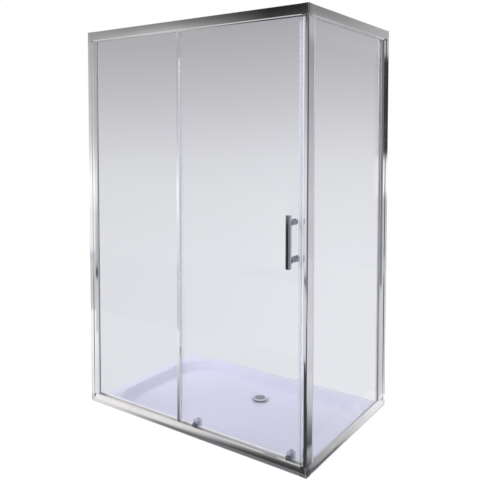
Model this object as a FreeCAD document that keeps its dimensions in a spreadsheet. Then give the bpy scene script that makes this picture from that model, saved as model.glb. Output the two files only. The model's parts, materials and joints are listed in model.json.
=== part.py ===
"""Corner shower enclosure: a tray, a fixed pane, a sliding door and a return pane.

Millimetres. The origin is the middle of the tray's underside: X runs along the front towards
the corner post, Y runs from the front to the rear wall, Z is up. The left wall touches the
tray's -X edge and the rear wall its +Y edge. Sections of the rails are drawn with two
distances: "inset", measured inwards from the rail's outer face, and a height.
"""
import FreeCAD, Part
import math
import os

import Sketcher

os.makedirs("parts", exist_ok=True)
doc = FreeCAD.newDocument("ShowerEnclosure")
Vector = FreeCAD.Vector

DRIVING_SIZES = (
    # tray
    ("tray_length", 1200, "tray along the front"),
    ("tray_width", 800, "tray from front to rear wall"),
    ("tray_height", 100, "tray from its underside to its rim"),
    ("tray_corner_radius", 12, "upright outer corners of the tray"),
    ("rim_side", 50, "flat rim at the left and at the return"),
    ("rim_front", 50, "flat rim under the front rails"),
    ("rim_back", 35, "flat rim at the rear wall"),
    ("basin_depth", 50, "rim down to the edge of the basin floor"),
    ("basin_run", 40, "how far the basin wall leans in over its height"),
    ("basin_corner_radius", 150, "plan radius of the basin floor's corners"),
    ("rim_round", 9, "rounding where the rim turns into the basin"),
    ("floor_round", 26, "rounding where the basin wall meets the floor"),
    ("fall_border", 30, "flat border of the floor, outside the fall"),
    ("fall_depth", 16, "how far the floor falls to the waste"),
    ("fall_corner", 100, "cut-off corners where the fall begins"),
    ("sump_width", 100, "flat octagon round the waste"),
    ("sump_corner", 29, "cut-off corners of that octagon"),
    ("drain_from_rear", 190, "waste centre to the rear wall"),
    ("drain_from_middle", 0, "waste centre to the middle of the length"),
    ("floor_thickness", 8, "tray under the waste flange"),
    ("skirt_wall", 20, "outer wall round the underside cells"),
    ("rib_thickness", 12, "ribs between the underside cells"),
    ("cell_depth", 20, "underside cells"),
    ("cells_along", 8, "count of cells along the tray"),
    ("cells_across", 6, "count of cells across the tray"),
    ("waste_well_radius", 62, "round well for the waste, in the underside"),
    # waste
    ("waste_hole_radius", 30, "hole through the tray"),
    ("waste_tail_radius", 28, "threaded tail of the flange"),
    ("waste_bore_radius", 22, "bore of the tail"),
    ("waste_cup_radius", 25.5, "wider cup above the bore"),
    ("waste_cup_depth", 14, "cup below the ring"),
    ("waste_tail_length", 30, "tail below the ring"),
    ("waste_ring_radius", 38, "ring that lies on the tray"),
    ("waste_ring_thickness", 2.5, "that ring"),
    ("waste_washer_thickness", 2, "rubber washers above and below the tray"),
    ("waste_washer_radius", 36, "those washers"),
    ("waste_nut_radius", 38, "back nut over its corners"),
    ("waste_nut_thickness", 8, "back nut"),
    ("thread_clearance", 0.1, "radial clearance of the nut and washers on the tail"),
    ("cover_radius", 40, "round cover"),
    ("cover_lift", 3, "gap under the cover's edge, where water runs in"),
    ("cover_edge", 2.5, "upright edge of the cover"),
    ("cover_dome", 6, "rise of the cover's dome above its edge"),
    ("cover_wall", 2, "cover and its skirt"),
    ("cover_skirt_radius", 23, "skirt that stands in the cup"),
    ("cover_window_width", 12, "windows in the skirt"),
    ("cover_window_count", 6, "windows round the skirt"),
    # frame
    ("frame_height", 1800, "rim to the top of the frame"),
    ("frame_inset", 1.5, "rails lie this far inside the tray's edge"),
    ("wall", 1.8, "outer walls of the extrusions"),
    ("web", 1.6, "inner webs of the extrusions"),
    ("top_face", 42, "height of the top rails' outer face"),
    ("top_lip", 6, "lip that shows below the outer face"),
    ("bottom_face", 38, "height of the bottom rails"),
    ("bottom_band", 14, "upright lower band of the bottom rails"),
    ("bottom_lean", 6, "how far the upper band leans in"),
    ("front_rail_depth", 50, "front rails, outer to inner face"),
    ("return_rail_depth", 28, "return rails, outer to inner face"),
    ("groove_inset", 8, "glass groove from the outer face"),
    ("groove_width", 11, "glass groove"),
    ("bottom_groove_floor", 12, "floor of the bottom groove above the rim"),
    ("top_groove_roof", 20, "roof of the top groove below the frame top"),
    ("inner_lip_drop", 4, "groove's inner web below the outer face"),
    ("bottom_inner_web", 24, "height of the front groove's inner web"),
    ("return_inner_web", 30, "height of the return groove's inner web"),
    ("return_toe", 6, "inner edge of the return bottom rail"),
    ("rail_foot", 2, "foot plate of the bottom rails"),
    ("extrusion_round", 2, "rounded long edges of the rails"),
    # tracks
    ("top_fin_inset", 38, "upright fin that the top wheels run on"),
    ("top_fin_height", 9, "that fin above the rail's lower face"),
    ("track_web_inset", 36.5, "upright web of the bottom track"),
    ("track_height", 34, "top of the bottom track"),
    ("bottom_fin_inset", 44.9, "hanging fin that holds the bottom wheels"),
    ("bottom_fin_tip", 26, "tip of that fin above the rim"),
    ("weep_slot_length", 40, "slots that let water back to the tray"),
    ("weep_slot_height", 4, "those slots"),
    ("weep_slot_count", 5, "slots along the front"),
    # wall channels and adjusting profiles
    ("channel_width", 36, "wall channel along the wall"),
    ("channel_depth", 22, "left wall channel, out from the wall"),
    ("rear_channel_depth", 24, "rear wall channel, out from the wall"),
    ("wall_hole_radius", 2.5, "holes for the wall screws"),
    ("wall_hole_end", 100, "first and last wall hole from the channel's ends"),
    ("slide_gap", 0.3, "adjusting profile in its channel"),
    ("tuck", 12, "adjusting profile hidden in its channel"),
    ("left_profile_reach", 27, "left profile out of its channel"),
    ("left_profile_flat", 14, "flat part of that reach"),
    ("rear_profile_reach", 40, "rear profile out of its channel"),
    ("rear_profile_flat", 26, "flat part of that reach"),
    ("rear_inner_lip", 16, "rear profile's inner lip beyond the outer one"),
    ("profile_groove_depth", 14, "glass groove of the profiles and the post"),
    ("lip_thickness", 1.5, "lips at the mouth of those grooves"),
    ("lock_screw_radius", 2, "screws that lock a profile in its channel"),
    ("lock_screw_head", 4.2, "their heads"),
    ("lock_screw_head_height", 2.2, "their heads"),
    ("lock_screw_length", 9, "their shanks"),
    ("lock_screw_from_mouth", 7, "their distance from the channel's mouth"),
    ("lock_screw_count", 3, "screws in each channel"),
    ("screw_clearance", 0.05, "radial clearance of screws and pins"),
    # post and corner caps
    ("post_depth", 46, "post along the return"),
    ("post_width", 22, "post along the front"),
    ("post_front_width", 12.5, "flat front of the post, before its chamfer"),
    ("post_round", 5, "rounded outer corner of the post"),
    ("cap_leg", 30, "corner caps, each way"),
    ("cap_round", 6, "rounded outer corner of the caps"),
    ("cap_edge_round", 1.5, "rounded upper edges of the top cap"),
    ("tongue_length", 20, "tongues of the caps in the rails and the post"),
    ("tongue_gap", 0.3, "play of those tongues"),
    # glass and gaskets
    ("glass_thickness", 6, "all panes"),
    ("fixed_glass_inset", 10.5, "fixed panes from the outer face"),
    ("gasket_bottom", 2, "gasket under the glass edge"),
    ("gasket_proud", 2, "gasket beyond its groove"),
    ("post_gasket_proud", 11, "wide gasket that covers the post's edge"),
    ("post_gasket_inset", 1.5, "its face from the post's outer face"),
    ("fixed_edge", -38, "free edge of the fixed pane's profile, from the middle"),
    ("edge_profile_width", 14, "profile on the fixed pane's free edge"),
    ("edge_profile_wall", 1.6, "its walls"),
    ("edge_profile_bottom", 2, "its closed end"),
    ("fin_thickness", 1.5, "fins of the edge profiles"),
    ("fin_reach", 4.5, "fins of the edge profiles, towards each other"),
    ("fin_end_gap", 26, "edge fin starts and ends this far from the rails"),
    ("wipe_gap", 0.3, "fins and magnets from what they face"),
    # door
    ("door_inset", 25.5, "door glass from the outer face"),
    ("door_closing_gap", 18.5, "door glass, closing edge to the post"),
    ("door_bottom_gap", 8, "door glass above the rim"),
    ("door_top_gap", 8, "door glass below the frame top"),
    ("door_open_gap", 19.2, "door glass to the left profile when the door is open"),
    ("trailing_clip_width", 12, "profile on the door's free edge"),
    ("seal_clip_length", 12, "magnetic seal's legs on the glass"),
    ("seal_clip_wall", 1.5, "those legs"),
    ("seal_body_width", 10, "magnetic seal beyond the glass edge"),
    ("magnet_step", 0.5, "magnets are this much narrower than the seal, each side"),
    ("magnet_thickness", 4, "magnet on the post"),
    ("magnet_nose", 5, "magnet of the door"),
    # rollers
    ("left_roller_from_edge", 87.8, "left rollers from the door's free edge"),
    ("right_roller_from_edge", 51, "right rollers from the door's closing edge"),
    ("glass_hole_radius", 6, "holes for the rollers"),
    ("wheel_width", 7, "all wheels"),
    ("wheel_running_gap", 0.3, "wheel groove from the fin's tip"),
    ("top_wheel_groove", 8.5, "top wheels at the groove's bottom"),
    ("top_wheel_rim", 10.5, "top wheels at the rim"),
    ("bottom_wheel_groove", 7.5, "bottom wheels at the groove's bottom"),
    ("bottom_wheel_rim", 9.5, "bottom wheels at the rim"),
    ("groove_half_width", 1.1, "wheel groove, half its width at the bottom"),
    ("groove_mouth_half", 1.8, "wheel groove, half its width at the rim"),
    ("hub_radius", 5, "hub of a wheel"),
    ("hub_recess", 0.9, "face between hub and rim, below both"),
    ("rim_ring", 2.4, "rim ring of a wheel's face"),
    ("axle_radius", 2.5, "all axles"),
    ("axle_head_radius", 4, "axle heads"),
    ("axle_head_thickness", 1.2, "axle heads"),
    ("axle_side_gap", 0.4, "wheel to the head beside it"),
    ("clamp_disc_radius", 9, "outer disc of a top axle"),
    ("clamp_disc_thickness", 2.2, "that disc"),
    ("bracket_width", 28, "top roller bracket along the door"),
    ("bracket_height", 24, "top roller bracket"),
    ("bracket_thickness", 3, "top roller bracket"),
    ("bracket_round", 4, "its corners"),
    ("bush_gap", 0.3, "bush of the bracket in the glass hole"),
    ("bottom_hole_height", 40, "bottom roller holes above the rim"),
    ("knob_radius", 13, "outer knobs of the bottom rollers"),
    ("knob_thickness", 6, "those knobs"),
    ("knob_edge", 2, "their rounded-off edge"),
    ("knob_shank_radius", 4, "their screws"),
    ("knob_shank_length", 17, "their screws"),
    ("housing_width", 26, "bottom roller housing along the door"),
    ("housing_start", 49.7, "inner part of the housing from the outer face"),
    ("housing_end", 62, "inside face of the housing"),
    ("housing_low", 8, "its underside above the rim"),
    ("housing_neck_low", 35.5, "underside of its neck over the track"),
    ("housing_high", 60, "its top"),
    ("housing_round", 2.5, "its rounded edges"),
    ("carriage_width", 16, "sprung carriage along the door"),
    ("carriage_start", 50, "carriage plate from the outer face"),
    ("carriage_thickness", 4, "carriage plate"),
    ("carriage_low", 10, "its lower end above the rim"),
    ("carriage_high", 44, "its upper end above the rim"),
    ("carriage_gap", 0.3, "carriage in its slot"),
    ("carriage_head_room", 0.6, "slot above the carriage at rest"),
    ("release_travel", 4, "how far the button lowers carriage and wheel"),
    ("stem_radius", 2.4, "stem between carriage and button"),
    ("button_radius", 6, "release button"),
    ("button_low", 58, "underside of the button's head"),
    ("button_high", 65, "top of the button"),
    ("button_well_radius", 6.6, "well for the button and its spring"),
    ("button_well_depth", 14, "that well"),
    ("spring_radius", 4.4, "spring, to the middle of its wire"),
    ("spring_wire", 0.5, "wire radius"),
    ("spring_wire_sides", 4, "sides of the drawn wire"),
    ("spring_pitch", 3.1, "spring, one turn to the next"),
    ("spring_seat_gap", 0.2, "spring from its seats"),
    ("stop_length", 25, "rubber bump stops along the rail"),
    ("stop_height", 24, "rubber bump stops"),
    ("stop_start", 35.3, "bump stop from the outer face"),
    ("stop_gap", 0.3, "wheel to the stop at each end"),
    # handle
    ("handle_width", 19, "square bar"),
    ("handle_length", 205, "bar"),
    ("handle_low", 802, "lower end of the bar above the rim"),
    ("handle_from_edge", 26, "bar's middle from the door's closing edge"),
    ("handle_reach", 43, "glass to the back of the bar"),
    ("handle_round", 3, "long edges of the bar"),
    ("handle_post_radius", 12.5, "round posts"),
    ("handle_post_inset", 30, "posts from the bar's ends"),
    ("handle_washer", 1, "clear washers on both sides of the glass"),
    ("handle_hole_radius", 4, "holes in the glass"),
    ("handle_stud_radius", 3, "studs through the glass"),
    ("handle_stud_bite", 10, "studs in the bar's posts"),
    ("inner_knob_radius", 13, "inner knob at the lower post"),
    ("inner_knob_length", 14, "inner knob at the lower post"),
    ("inner_cap_radius", 8, "low cap inside the upper post"),
    ("inner_cap_length", 4, "low cap inside the upper post"),
    ("inner_knob_round", 2, "their rounded-off edge"),
    ("filler_gap", 0.2, "filler strips in the empty glass grooves"),
)

sheet = doc.addObject("Spreadsheet::Sheet", "Sizes")
for row, (alias, number, note) in enumerate(DRIVING_SIZES, start=1):
    sheet.set(f"A{row}", note)
    sheet.set(f"B{row}", str(number))
    sheet.setAlias(f"B{row}", alias)
doc.recompute()


class Size:
    """A length with its number and the sheet formula that keeps it bound to the sheet."""

    def __init__(self, number, formula):
        self.number = float(number)
        self.formula = formula

    def join(self, other, sign, number):
        return Size(number, f"({self.formula} {sign} {as_size(other).formula})")

    def __add__(self, other):
        return self.join(other, "+", self.number + as_size(other).number)

    def __sub__(self, other):
        return self.join(other, "-", self.number - as_size(other).number)

    def __mul__(self, other):
        return self.join(other, "*", self.number * as_size(other).number)

    def __truediv__(self, other):
        return self.join(other, "/", self.number / as_size(other).number)

    def __neg__(self):
        return as_size(0) - self

    def __radd__(self, other):
        return as_size(other) + self

    def __rsub__(self, other):
        return as_size(other) - self


def as_size(length):
    """Plain numbers stand for themselves in a formula."""
    return length if isinstance(length, Size) else Size(length, str(length))


class SheetSizes:
    """Each alias of the sheet as a Size."""

    def __init__(self):
        for alias, number, _ in DRIVING_SIZES:
            setattr(self, alias, Size(number, f"Sizes.{alias}"))


s = SheetSizes()

# ---------------------------------------------------------------- places worked out from sizes
left_wall = -s.tray_length / 2
rear_wall = s.tray_width / 2
front_face = s.frame_inset - s.tray_width / 2
side_face = s.tray_length / 2 - s.frame_inset
rim_top = s.tray_height
frame_top = s.tray_height + s.frame_height
rail_left_end = left_wall + s.channel_depth + s.slide_gap
front_rail_right_end = s.tray_length / 2 - s.cap_leg
return_rail_front_end = s.cap_leg - s.tray_width / 2
return_rail_rear_end = rear_wall - s.rear_channel_depth - s.slide_gap
upright_low = rim_top + s.bottom_face
upright_high = frame_top - s.top_face - s.top_lip
groove_end_inset = s.groove_inset + s.groove_width
inner_web_inset = groove_end_inset + s.web
profile_start_inset = s.wall + s.slide_gap
profile_end_inset = s.channel_width - s.wall - s.slide_gap
left_profile_end = left_wall + s.channel_depth + s.left_profile_reach
rear_profile_end = rear_wall - s.rear_channel_depth - s.rear_profile_reach
glass_low = rim_top + s.bottom_groove_floor + s.gasket_bottom
glass_high = frame_top - s.top_groove_roof - s.gasket_bottom
door_outer = front_face + s.door_inset
door_inner = door_outer + s.glass_thickness
fixed_profile_mouth = s.fixed_edge - s.edge_profile_width
door_left = fixed_profile_mouth - s.wipe_gap - s.fin_thickness + s.edge_profile_bottom
drain_x = s.drain_from_middle
drain_y = rear_wall - s.drain_from_rear
sump_level = s.tray_height - s.basin_depth - s.fall_depth
top_axis_height = (frame_top - s.top_face + s.top_fin_height + s.wheel_running_gap
                   + s.top_wheel_groove)
bottom_axis_height = (rim_top + s.bottom_fin_tip - s.wheel_running_gap
                      - s.bottom_wheel_groove)
top_wheel_middle = front_face + s.top_fin_inset + s.web / 2
bottom_wheel_middle = front_face + s.bottom_fin_inset + s.web / 2
post_face = side_face - s.post_width
door_right = post_face - s.door_closing_gap
door_travel = door_left - left_profile_end - s.door_open_gap
left_roller = door_left + s.left_roller_from_edge
right_roller = door_right - s.right_roller_from_edge
handle_x = door_right - s.handle_from_edge
lower_post = rim_top + s.handle_low + s.handle_post_inset
upper_post = rim_top + s.handle_low + s.handle_length - s.handle_post_inset


def front(inset):
    """Place across the front rails, from their outer face inwards."""
    return front_face + inset


def side(inset):
    """Place across the return rails, from their outer face inwards."""
    return side_face - inset


# ---------------------------------------------------------------- drawing helpers
def bind(thing, path, size):
    thing.setExpression(path, as_size(size).formula)


def place(thing, x=0, y=0, z=0):
    for axis, size in (("x", x), ("y", y), ("z", z)):
        bind(thing, f"Placement.Base.{axis}", size)


def new_body(name, x=0, y=0, z=0):
    body = doc.addObject("PartDesign::Body", name)
    body.Label = name
    place(body, x, y, z)
    return body


PLANE_ACROSS = {"X": "YZ_Plane", "Y": "XZ_Plane", "Z": "XY_Plane"}


def new_sketch(body, across, offset=0):
    """A sketch on the body's origin plane across an axis, moved along that plane's normal."""
    name = f"{body.Name}_section_{len(body.Group)}"
    sketch = body.newObject("Sketcher::SketchObject", name)
    plane = next(feature for feature in body.Origin.OriginFeatures
                 if feature.Role == PLANE_ACROSS[across])
    sketch.AttachmentSupport = (plane, [""])
    sketch.MapMode = "FlatFace"
    bind(sketch, "AttachmentOffset.Base.z", offset)
    return sketch


def constrain(sketch, wanted):
    """Add (constraint, formula) pairs in one go, and bind those that have a formula."""
    first = sketch.ConstraintCount
    sketch.addConstraint([constraint for constraint, _ in wanted])
    for index, (_, formula) in enumerate(wanted, start=first):
        if formula:
            sketch.setExpression(f"Constraints[{index}]", formula)


def tied(element, end, point):
    """Constraints that fix a sketch point at two distances from the sketch's origin."""
    pairs = []
    for kind, axis_line, size in (("DistanceX", -2, point[0]), ("DistanceY", -1, point[1])):
        size = as_size(size)
        if size.formula == "0":
            on_axis = Sketcher.Constraint("PointOnObject", element, end, axis_line)
            pairs.append((on_axis, None))
        else:
            distance = Sketcher.Constraint(kind, -1, 1, element, end, size.number)
            pairs.append((distance, size.formula))
    return pairs


def joined(element, end, other, other_end):
    return Sketcher.Constraint("Coincident", element, end, other, other_end), None


def flat(point):
    return Vector(as_size(point[0]).number, as_size(point[1]).number, 0)


def draw_outline(sketch, points):
    """A closed polygon through the given points."""
    first = sketch.GeometryCount
    count = len(points)
    lines = [Part.LineSegment(flat(points[index]), flat(points[(index + 1) % count]))
             for index in range(count)]
    sketch.addGeometry(lines, False)
    wanted = [joined(first + index, 2, first + (index + 1) % count, 1)
              for index in range(count)]
    for index, point in enumerate(points):
        wanted += tied(first + index, 1, point)
    constrain(sketch, wanted)


def draw_circle(sketch, centre, radius):
    circle = sketch.addGeometry(Part.Circle(flat(centre), Vector(0, 0, 1), radius.number), False)
    size = Sketcher.Constraint("Radius", circle, radius.number)
    constrain(sketch, tied(circle, 3, centre) + [(size, radius.formula)])


def draw_rounded(sketch, low, high, radii):
    """A rectangle whose corners have these radii, from low-x low-y round anticlockwise."""
    signs = ((1, 1), (-1, 1), (-1, -1), (1, -1))
    places = ((low[0], low[1]), (high[0], low[1]), (high[0], high[1]), (low[0], high[1]))
    starts = (math.pi, -math.pi / 2, 0, math.pi / 2)
    entries, exits = [], []
    for number, ((x, y), (sign_x, sign_y), radius) in enumerate(zip(places, signs, radii)):
        along_x = (x, y) if radius is None else (x + radius * sign_x, y)
        along_y = (x, y) if radius is None else (x, y + radius * sign_y)
        entries.append(along_y if number in (0, 2) else along_x)
        exits.append(along_x if number in (0, 2) else along_y)
    lines = [sketch.addGeometry(Part.LineSegment(flat(exits[number]),
                                                 flat(entries[(number + 1) % 4])), False)
             for number in range(4)]
    wanted = []
    for number, radius in enumerate(radii):
        before = lines[(number + 3) % 4]
        if radius is None:
            wanted.append(joined(before, 2, lines[number], 1))
            wanted += tied(lines[number], 1, exits[number])
            continue
        sign_x, sign_y = signs[number]
        corner = flat(places[number])
        centre = corner + Vector(radius.number * sign_x, radius.number * sign_y, 0)
        circle = Part.Circle(centre, Vector(0, 0, 1), radius.number)
        start = starts[number]
        arc = sketch.addGeometry(Part.ArcOfCircle(circle, start, start + math.pi / 2), False)
        wanted += [joined(before, 2, arc, 1), joined(arc, 2, lines[number], 1)]
        wanted += tied(arc, 1, entries[number]) + tied(arc, 2, exits[number])
        wanted.append((Sketcher.Constraint("Radius", arc, radius.number), radius.formula))
    constrain(sketch, wanted)


def box_points(low, high):
    return ((low[0], low[1]), (high[0], low[1]), (high[0], high[1]), (low[0], high[1]))


def add_pad(body, sketch, length, backwards=False, both_ways=False):
    pad = body.newObject("PartDesign::Pad", f"{sketch.Name}_pad")
    pad.Profile = sketch
    bind(pad, "Length", length)
    pad.Reversed = backwards
    if both_ways:
        pad.SideType = "Symmetric"
    return pad


def add_pocket(body, sketch, length, backwards=False):
    """Cut the sketch into the body; the volume has to shrink."""
    doc.recompute()
    before = body.Shape.Volume
    pocket = body.newObject("PartDesign::Pocket", f"{sketch.Name}_pocket")
    pocket.Profile = sketch
    bind(pocket, "Length", length)
    pocket.Reversed = backwards
    doc.recompute()
    if body.Shape.Volume >= before:
        raise RuntimeError(f"{pocket.Name} cuts nothing")
    return pocket


def extrusion(name, along, outline, hollows, start, length):
    """A profile along an axis, with its closed chambers, from start towards +axis."""
    body = new_body(name)
    bind(body, f"Placement.Base.{along.lower()}", start)
    sketch = new_sketch(body, along)
    draw_outline(sketch, outline)
    for hollow in hollows:
        draw_outline(sketch, hollow)
    add_pad(body, sketch, length, backwards=(along == "Y"))
    return body


def turned(name, along, profile, x, y, z):
    """A lathe piece: profile holds (radius, place along the axis) pairs."""
    body = new_body(name, x, y, z)
    sketch = new_sketch(body, "Y" if along == "Z" else "Z")
    if along == "X":
        draw_outline(sketch, [(reach, radius) for radius, reach in profile])
    else:
        draw_outline(sketch, profile)
    turn = body.newObject("PartDesign::Revolution", f"{name}_turn")
    turn.Profile = sketch
    turn.ReferenceAxis = (sketch, ["H_Axis" if along == "X" else "V_Axis"])
    turn.Angle = 360
    return body


def matching_edges(feature, test):
    """Names of the feature's edges whose every vertex passes the test."""
    names = []
    for number, edge in enumerate(feature.Shape.Edges, start=1):
        ends = [vertex.Point for vertex in edge.Vertexes]
        if ends and all(test(point) for point in ends):
            names.append(f"Edge{number}")
    return names


def near(number, size):
    return abs(number - as_size(size).number) < 0.01


def add_fillet(body, feature, names, radius):
    fillet = body.newObject("PartDesign::Fillet", f"{feature.Name}_round")
    fillet.Base = (feature, names)
    bind(fillet, "Radius", radius)
    doc.recompute()
    return fillet


def group(name, members):
    """Identical or matching pieces kept together as separate solids."""
    together = doc.addObject("Part::Compound", name)
    together.Label = name
    together.Links = members
    return together


def u_section(across, along, depth_axis_out=True):
    """Points of a gasket: across = (outer, glass low, glass high, outer), along = (closed
    end, glass edge, open end)."""
    outer_low, glass_near, glass_far, outer_high = across
    closed, edge, mouth = along
    points = [(outer_low, closed), (outer_high, closed), (outer_high, mouth),
              (glass_far, mouth), (glass_far, edge), (glass_near, edge),
              (glass_near, mouth), (outer_low, mouth)]
    return points if depth_axis_out else [(b, a) for a, b in points]


# ---------------------------------------------------------------- shower tray
def octagon(low, high, corner):
    """A rectangle with its four corners cut off at 45 degrees."""
    return [(low[0] + corner, low[1]), (high[0] - corner, low[1]),
            (high[0], low[1] + corner), (high[0], high[1] - corner),
            (high[0] - corner, high[1]), (low[0] + corner, high[1]),
            (low[0], high[1] - corner), (low[0], low[1] + corner)]


def make_tray():
    """A cast tray: draughted basin, rounded rim and floor, a fall to the waste, and a
    ribbed underside."""
    body = new_body("shower_tray")
    half_length, half_width = s.tray_length / 2, s.tray_width / 2
    block = new_sketch(body, "Z")
    draw_rounded(block, (-half_length, -half_width), (half_length, half_width),
                 [s.tray_corner_radius] * 4)
    add_pad(body, block, s.tray_height)

    def basin_corners(spread):
        low = (s.rim_side - half_length + spread, s.rim_front - half_width + spread)
        return low, (half_length - s.rim_side - spread, half_width - s.rim_back - spread)

    def basin_outline(level, spread, radius):
        sketch = new_sketch(body, "Z", level)
        draw_rounded(sketch, *basin_corners(spread), [radius] * 4)
        return sketch

    floor_level = s.tray_height - s.basin_depth
    opening = basin_outline(s.tray_height, as_size(0), s.basin_corner_radius + s.basin_run)
    floor = basin_outline(floor_level, s.basin_run, s.basin_corner_radius)
    basin = body.newObject("PartDesign::SubtractiveLoft", "tray_basin")
    basin.Profile = opening
    basin.Sections = [floor]
    basin.Ruled = True
    doc.recompute()

    def inside_rim(point):
        return (abs(point.x) < half_length.number - 1
                and abs(point.y) < half_width.number - 1)

    rim_edges = matching_edges(
        basin, lambda point: near(point.z, s.tray_height) and inside_rim(point))
    rim = add_fillet(body, basin, rim_edges, s.rim_round)
    floor_edges = matching_edges(rim, lambda point: near(point.z, floor_level))
    rounded = add_fillet(body, rim, floor_edges, s.floor_round)

    spread = s.basin_run + s.fall_border
    half_sump = s.sump_width / 2
    fall_start = new_sketch(body, "Z", floor_level)
    draw_outline(fall_start, octagon(*basin_corners(spread), s.fall_corner))
    sump = new_sketch(body, "Z", sump_level)
    draw_outline(sump, octagon((drain_x - half_sump, drain_y - half_sump),
                               (drain_x + half_sump, drain_y + half_sump), s.sump_corner))
    before = rounded.Shape.Volume
    fall = body.newObject("PartDesign::SubtractiveLoft", "tray_fall")
    fall.Profile = fall_start
    fall.Sections = [sump]
    fall.Ruled = True
    doc.recompute()
    if fall.Shape.Volume >= before:
        raise RuntimeError("the fall cuts nothing")

    well = new_sketch(body, "Z")
    draw_circle(well, (drain_x, drain_y), s.waste_well_radius)
    add_pocket(body, well, sump_level - s.floor_thickness, backwards=True)
    hole = new_sketch(body, "Z")
    draw_circle(hole, (drain_x, drain_y), s.waste_hole_radius)
    add_pocket(body, hole, s.tray_height, backwards=True)

    pitch_x = (s.tray_length - s.skirt_wall * 2 + s.rib_thickness) / s.cells_along
    pitch_y = (s.tray_width - s.skirt_wall * 2 + s.rib_thickness) / s.cells_across
    low = (s.skirt_wall - half_length, s.skirt_wall - half_width)
    high = (low[0] + pitch_x - s.rib_thickness, low[1] + pitch_y - s.rib_thickness)
    cell = new_sketch(body, "Z")
    draw_outline(cell, box_points(low, high))
    first_cell = add_pocket(body, cell, s.cell_depth, backwards=True)
    steps = []
    for name, line, pitch, cell_count in (
            ("columns", "H_Axis", pitch_x, s.cells_along),
            ("rows", "V_Axis", pitch_y, s.cells_across)):
        step = doc.addObject("PartDesign::LinearPattern", f"tray_cell_{name}")
        step.Direction = (cell, [line])
        bind(step, "Length", pitch * (cell_count - 1))
        bind(step, "Occurrences", cell_count)
        steps.append(step)
    grid = doc.addObject("PartDesign::MultiTransform", "tray_cells")
    body.addObject(grid)
    grid.Originals = [first_cell]
    grid.Transformations = steps
    body.Tip = grid
    return body


# ---------------------------------------------------------------- waste
def make_waste():
    ring_low = sump_level + s.waste_washer_thickness
    ring_high = ring_low + s.waste_ring_thickness
    tail_end = ring_low - s.waste_tail_length
    cup_floor = ring_low - s.waste_cup_depth
    rounded_off = s.waste_ring_thickness / 2
    flange = turned("waste_flange", "Z", [
        (s.waste_bore_radius, tail_end), (s.waste_tail_radius, tail_end),
        (s.waste_tail_radius, ring_low), (s.waste_ring_radius, ring_low),
        (s.waste_ring_radius, ring_low + rounded_off),
        (s.waste_ring_radius - rounded_off, ring_high), (s.waste_cup_radius, ring_high),
        (s.waste_cup_radius, cup_floor), (s.waste_bore_radius, cup_floor)],
        drain_x, drain_y, 0)

    underside = sump_level - s.floor_thickness
    washer_bore = s.waste_tail_radius + s.thread_clearance
    washers = []
    for label, low in (("upper", sump_level), ("lower", underside - s.waste_washer_thickness)):
        high = low + s.waste_washer_thickness
        washers.append(turned(f"waste_washer_{label}", "Z", [
            (washer_bore, low), (s.waste_washer_radius, low),
            (s.waste_washer_radius, high), (washer_bore, high)], drain_x, drain_y, 0))
    both_washers = group("waste_washers", washers)

    nut_high = underside - s.waste_washer_thickness
    nut = new_body("waste_back_nut", drain_x, drain_y, nut_high - s.waste_nut_thickness)
    section = new_sketch(nut, "Z")
    corners = []
    for number in range(6):
        angle = math.radians(60 * number + 30)
        corners.append((s.waste_nut_radius * math.cos(angle),
                        s.waste_nut_radius * math.sin(angle)))
    draw_outline(section, corners)
    draw_circle(section, (0, 0), washer_bore)
    add_pad(nut, section, s.waste_nut_thickness)

    edge_low = ring_high + s.cover_lift
    edge_high = edge_low + s.cover_edge
    skirt_inner = s.cover_skirt_radius - s.cover_wall
    under = edge_high - s.cover_wall / 2
    cover = turned("waste_cover", "Z", [
        (0, edge_high + s.cover_dome - s.cover_wall), (skirt_inner, under),
        (skirt_inner, cup_floor), (s.cover_skirt_radius, cup_floor),
        (s.cover_skirt_radius, under), (s.cover_radius - s.cover_wall, edge_low),
        (s.cover_radius, edge_low), (s.cover_radius, edge_high),
        (s.cover_radius * 0.75, edge_high + s.cover_dome * 0.6),
        (s.cover_radius * 0.4, edge_high + s.cover_dome * 0.92),
        (0, edge_high + s.cover_dome)], drain_x, drain_y, 0)
    window = new_sketch(cover, "X", skirt_inner - s.cover_wall)
    half = s.cover_window_width / 2
    draw_outline(window, box_points((-half, cup_floor + s.cover_wall), (half, ring_high)))
    cut = add_pocket(cover, window, s.cover_wall * 3, backwards=True)
    ring = cover.newObject("PartDesign::PolarPattern", "waste_cover_windows")
    ring.Originals = [cut]
    z_axis = next(line for line in cover.Origin.OriginFeatures if line.Role == "Z_Axis")
    ring.Axis = (z_axis, [""])
    ring.Angle = 360
    bind(ring, "Occurrences", s.cover_window_count)
    cover.Tip = ring
    return [flange, both_washers, nut, cover]


# ---------------------------------------------------------------- wall channels, profiles
def channel_section(across, out, depth):
    """A channel open away from its wall; out() turns a distance from the wall into a place."""
    points = [(0, 0), (s.channel_width, 0), (s.channel_width, depth),
              (s.channel_width - s.wall, depth), (s.channel_width - s.wall, s.wall),
              (s.wall, s.wall), (s.wall, depth), (0, depth)]
    return [(across(inset), out(distance)) for inset, distance in points]


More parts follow.
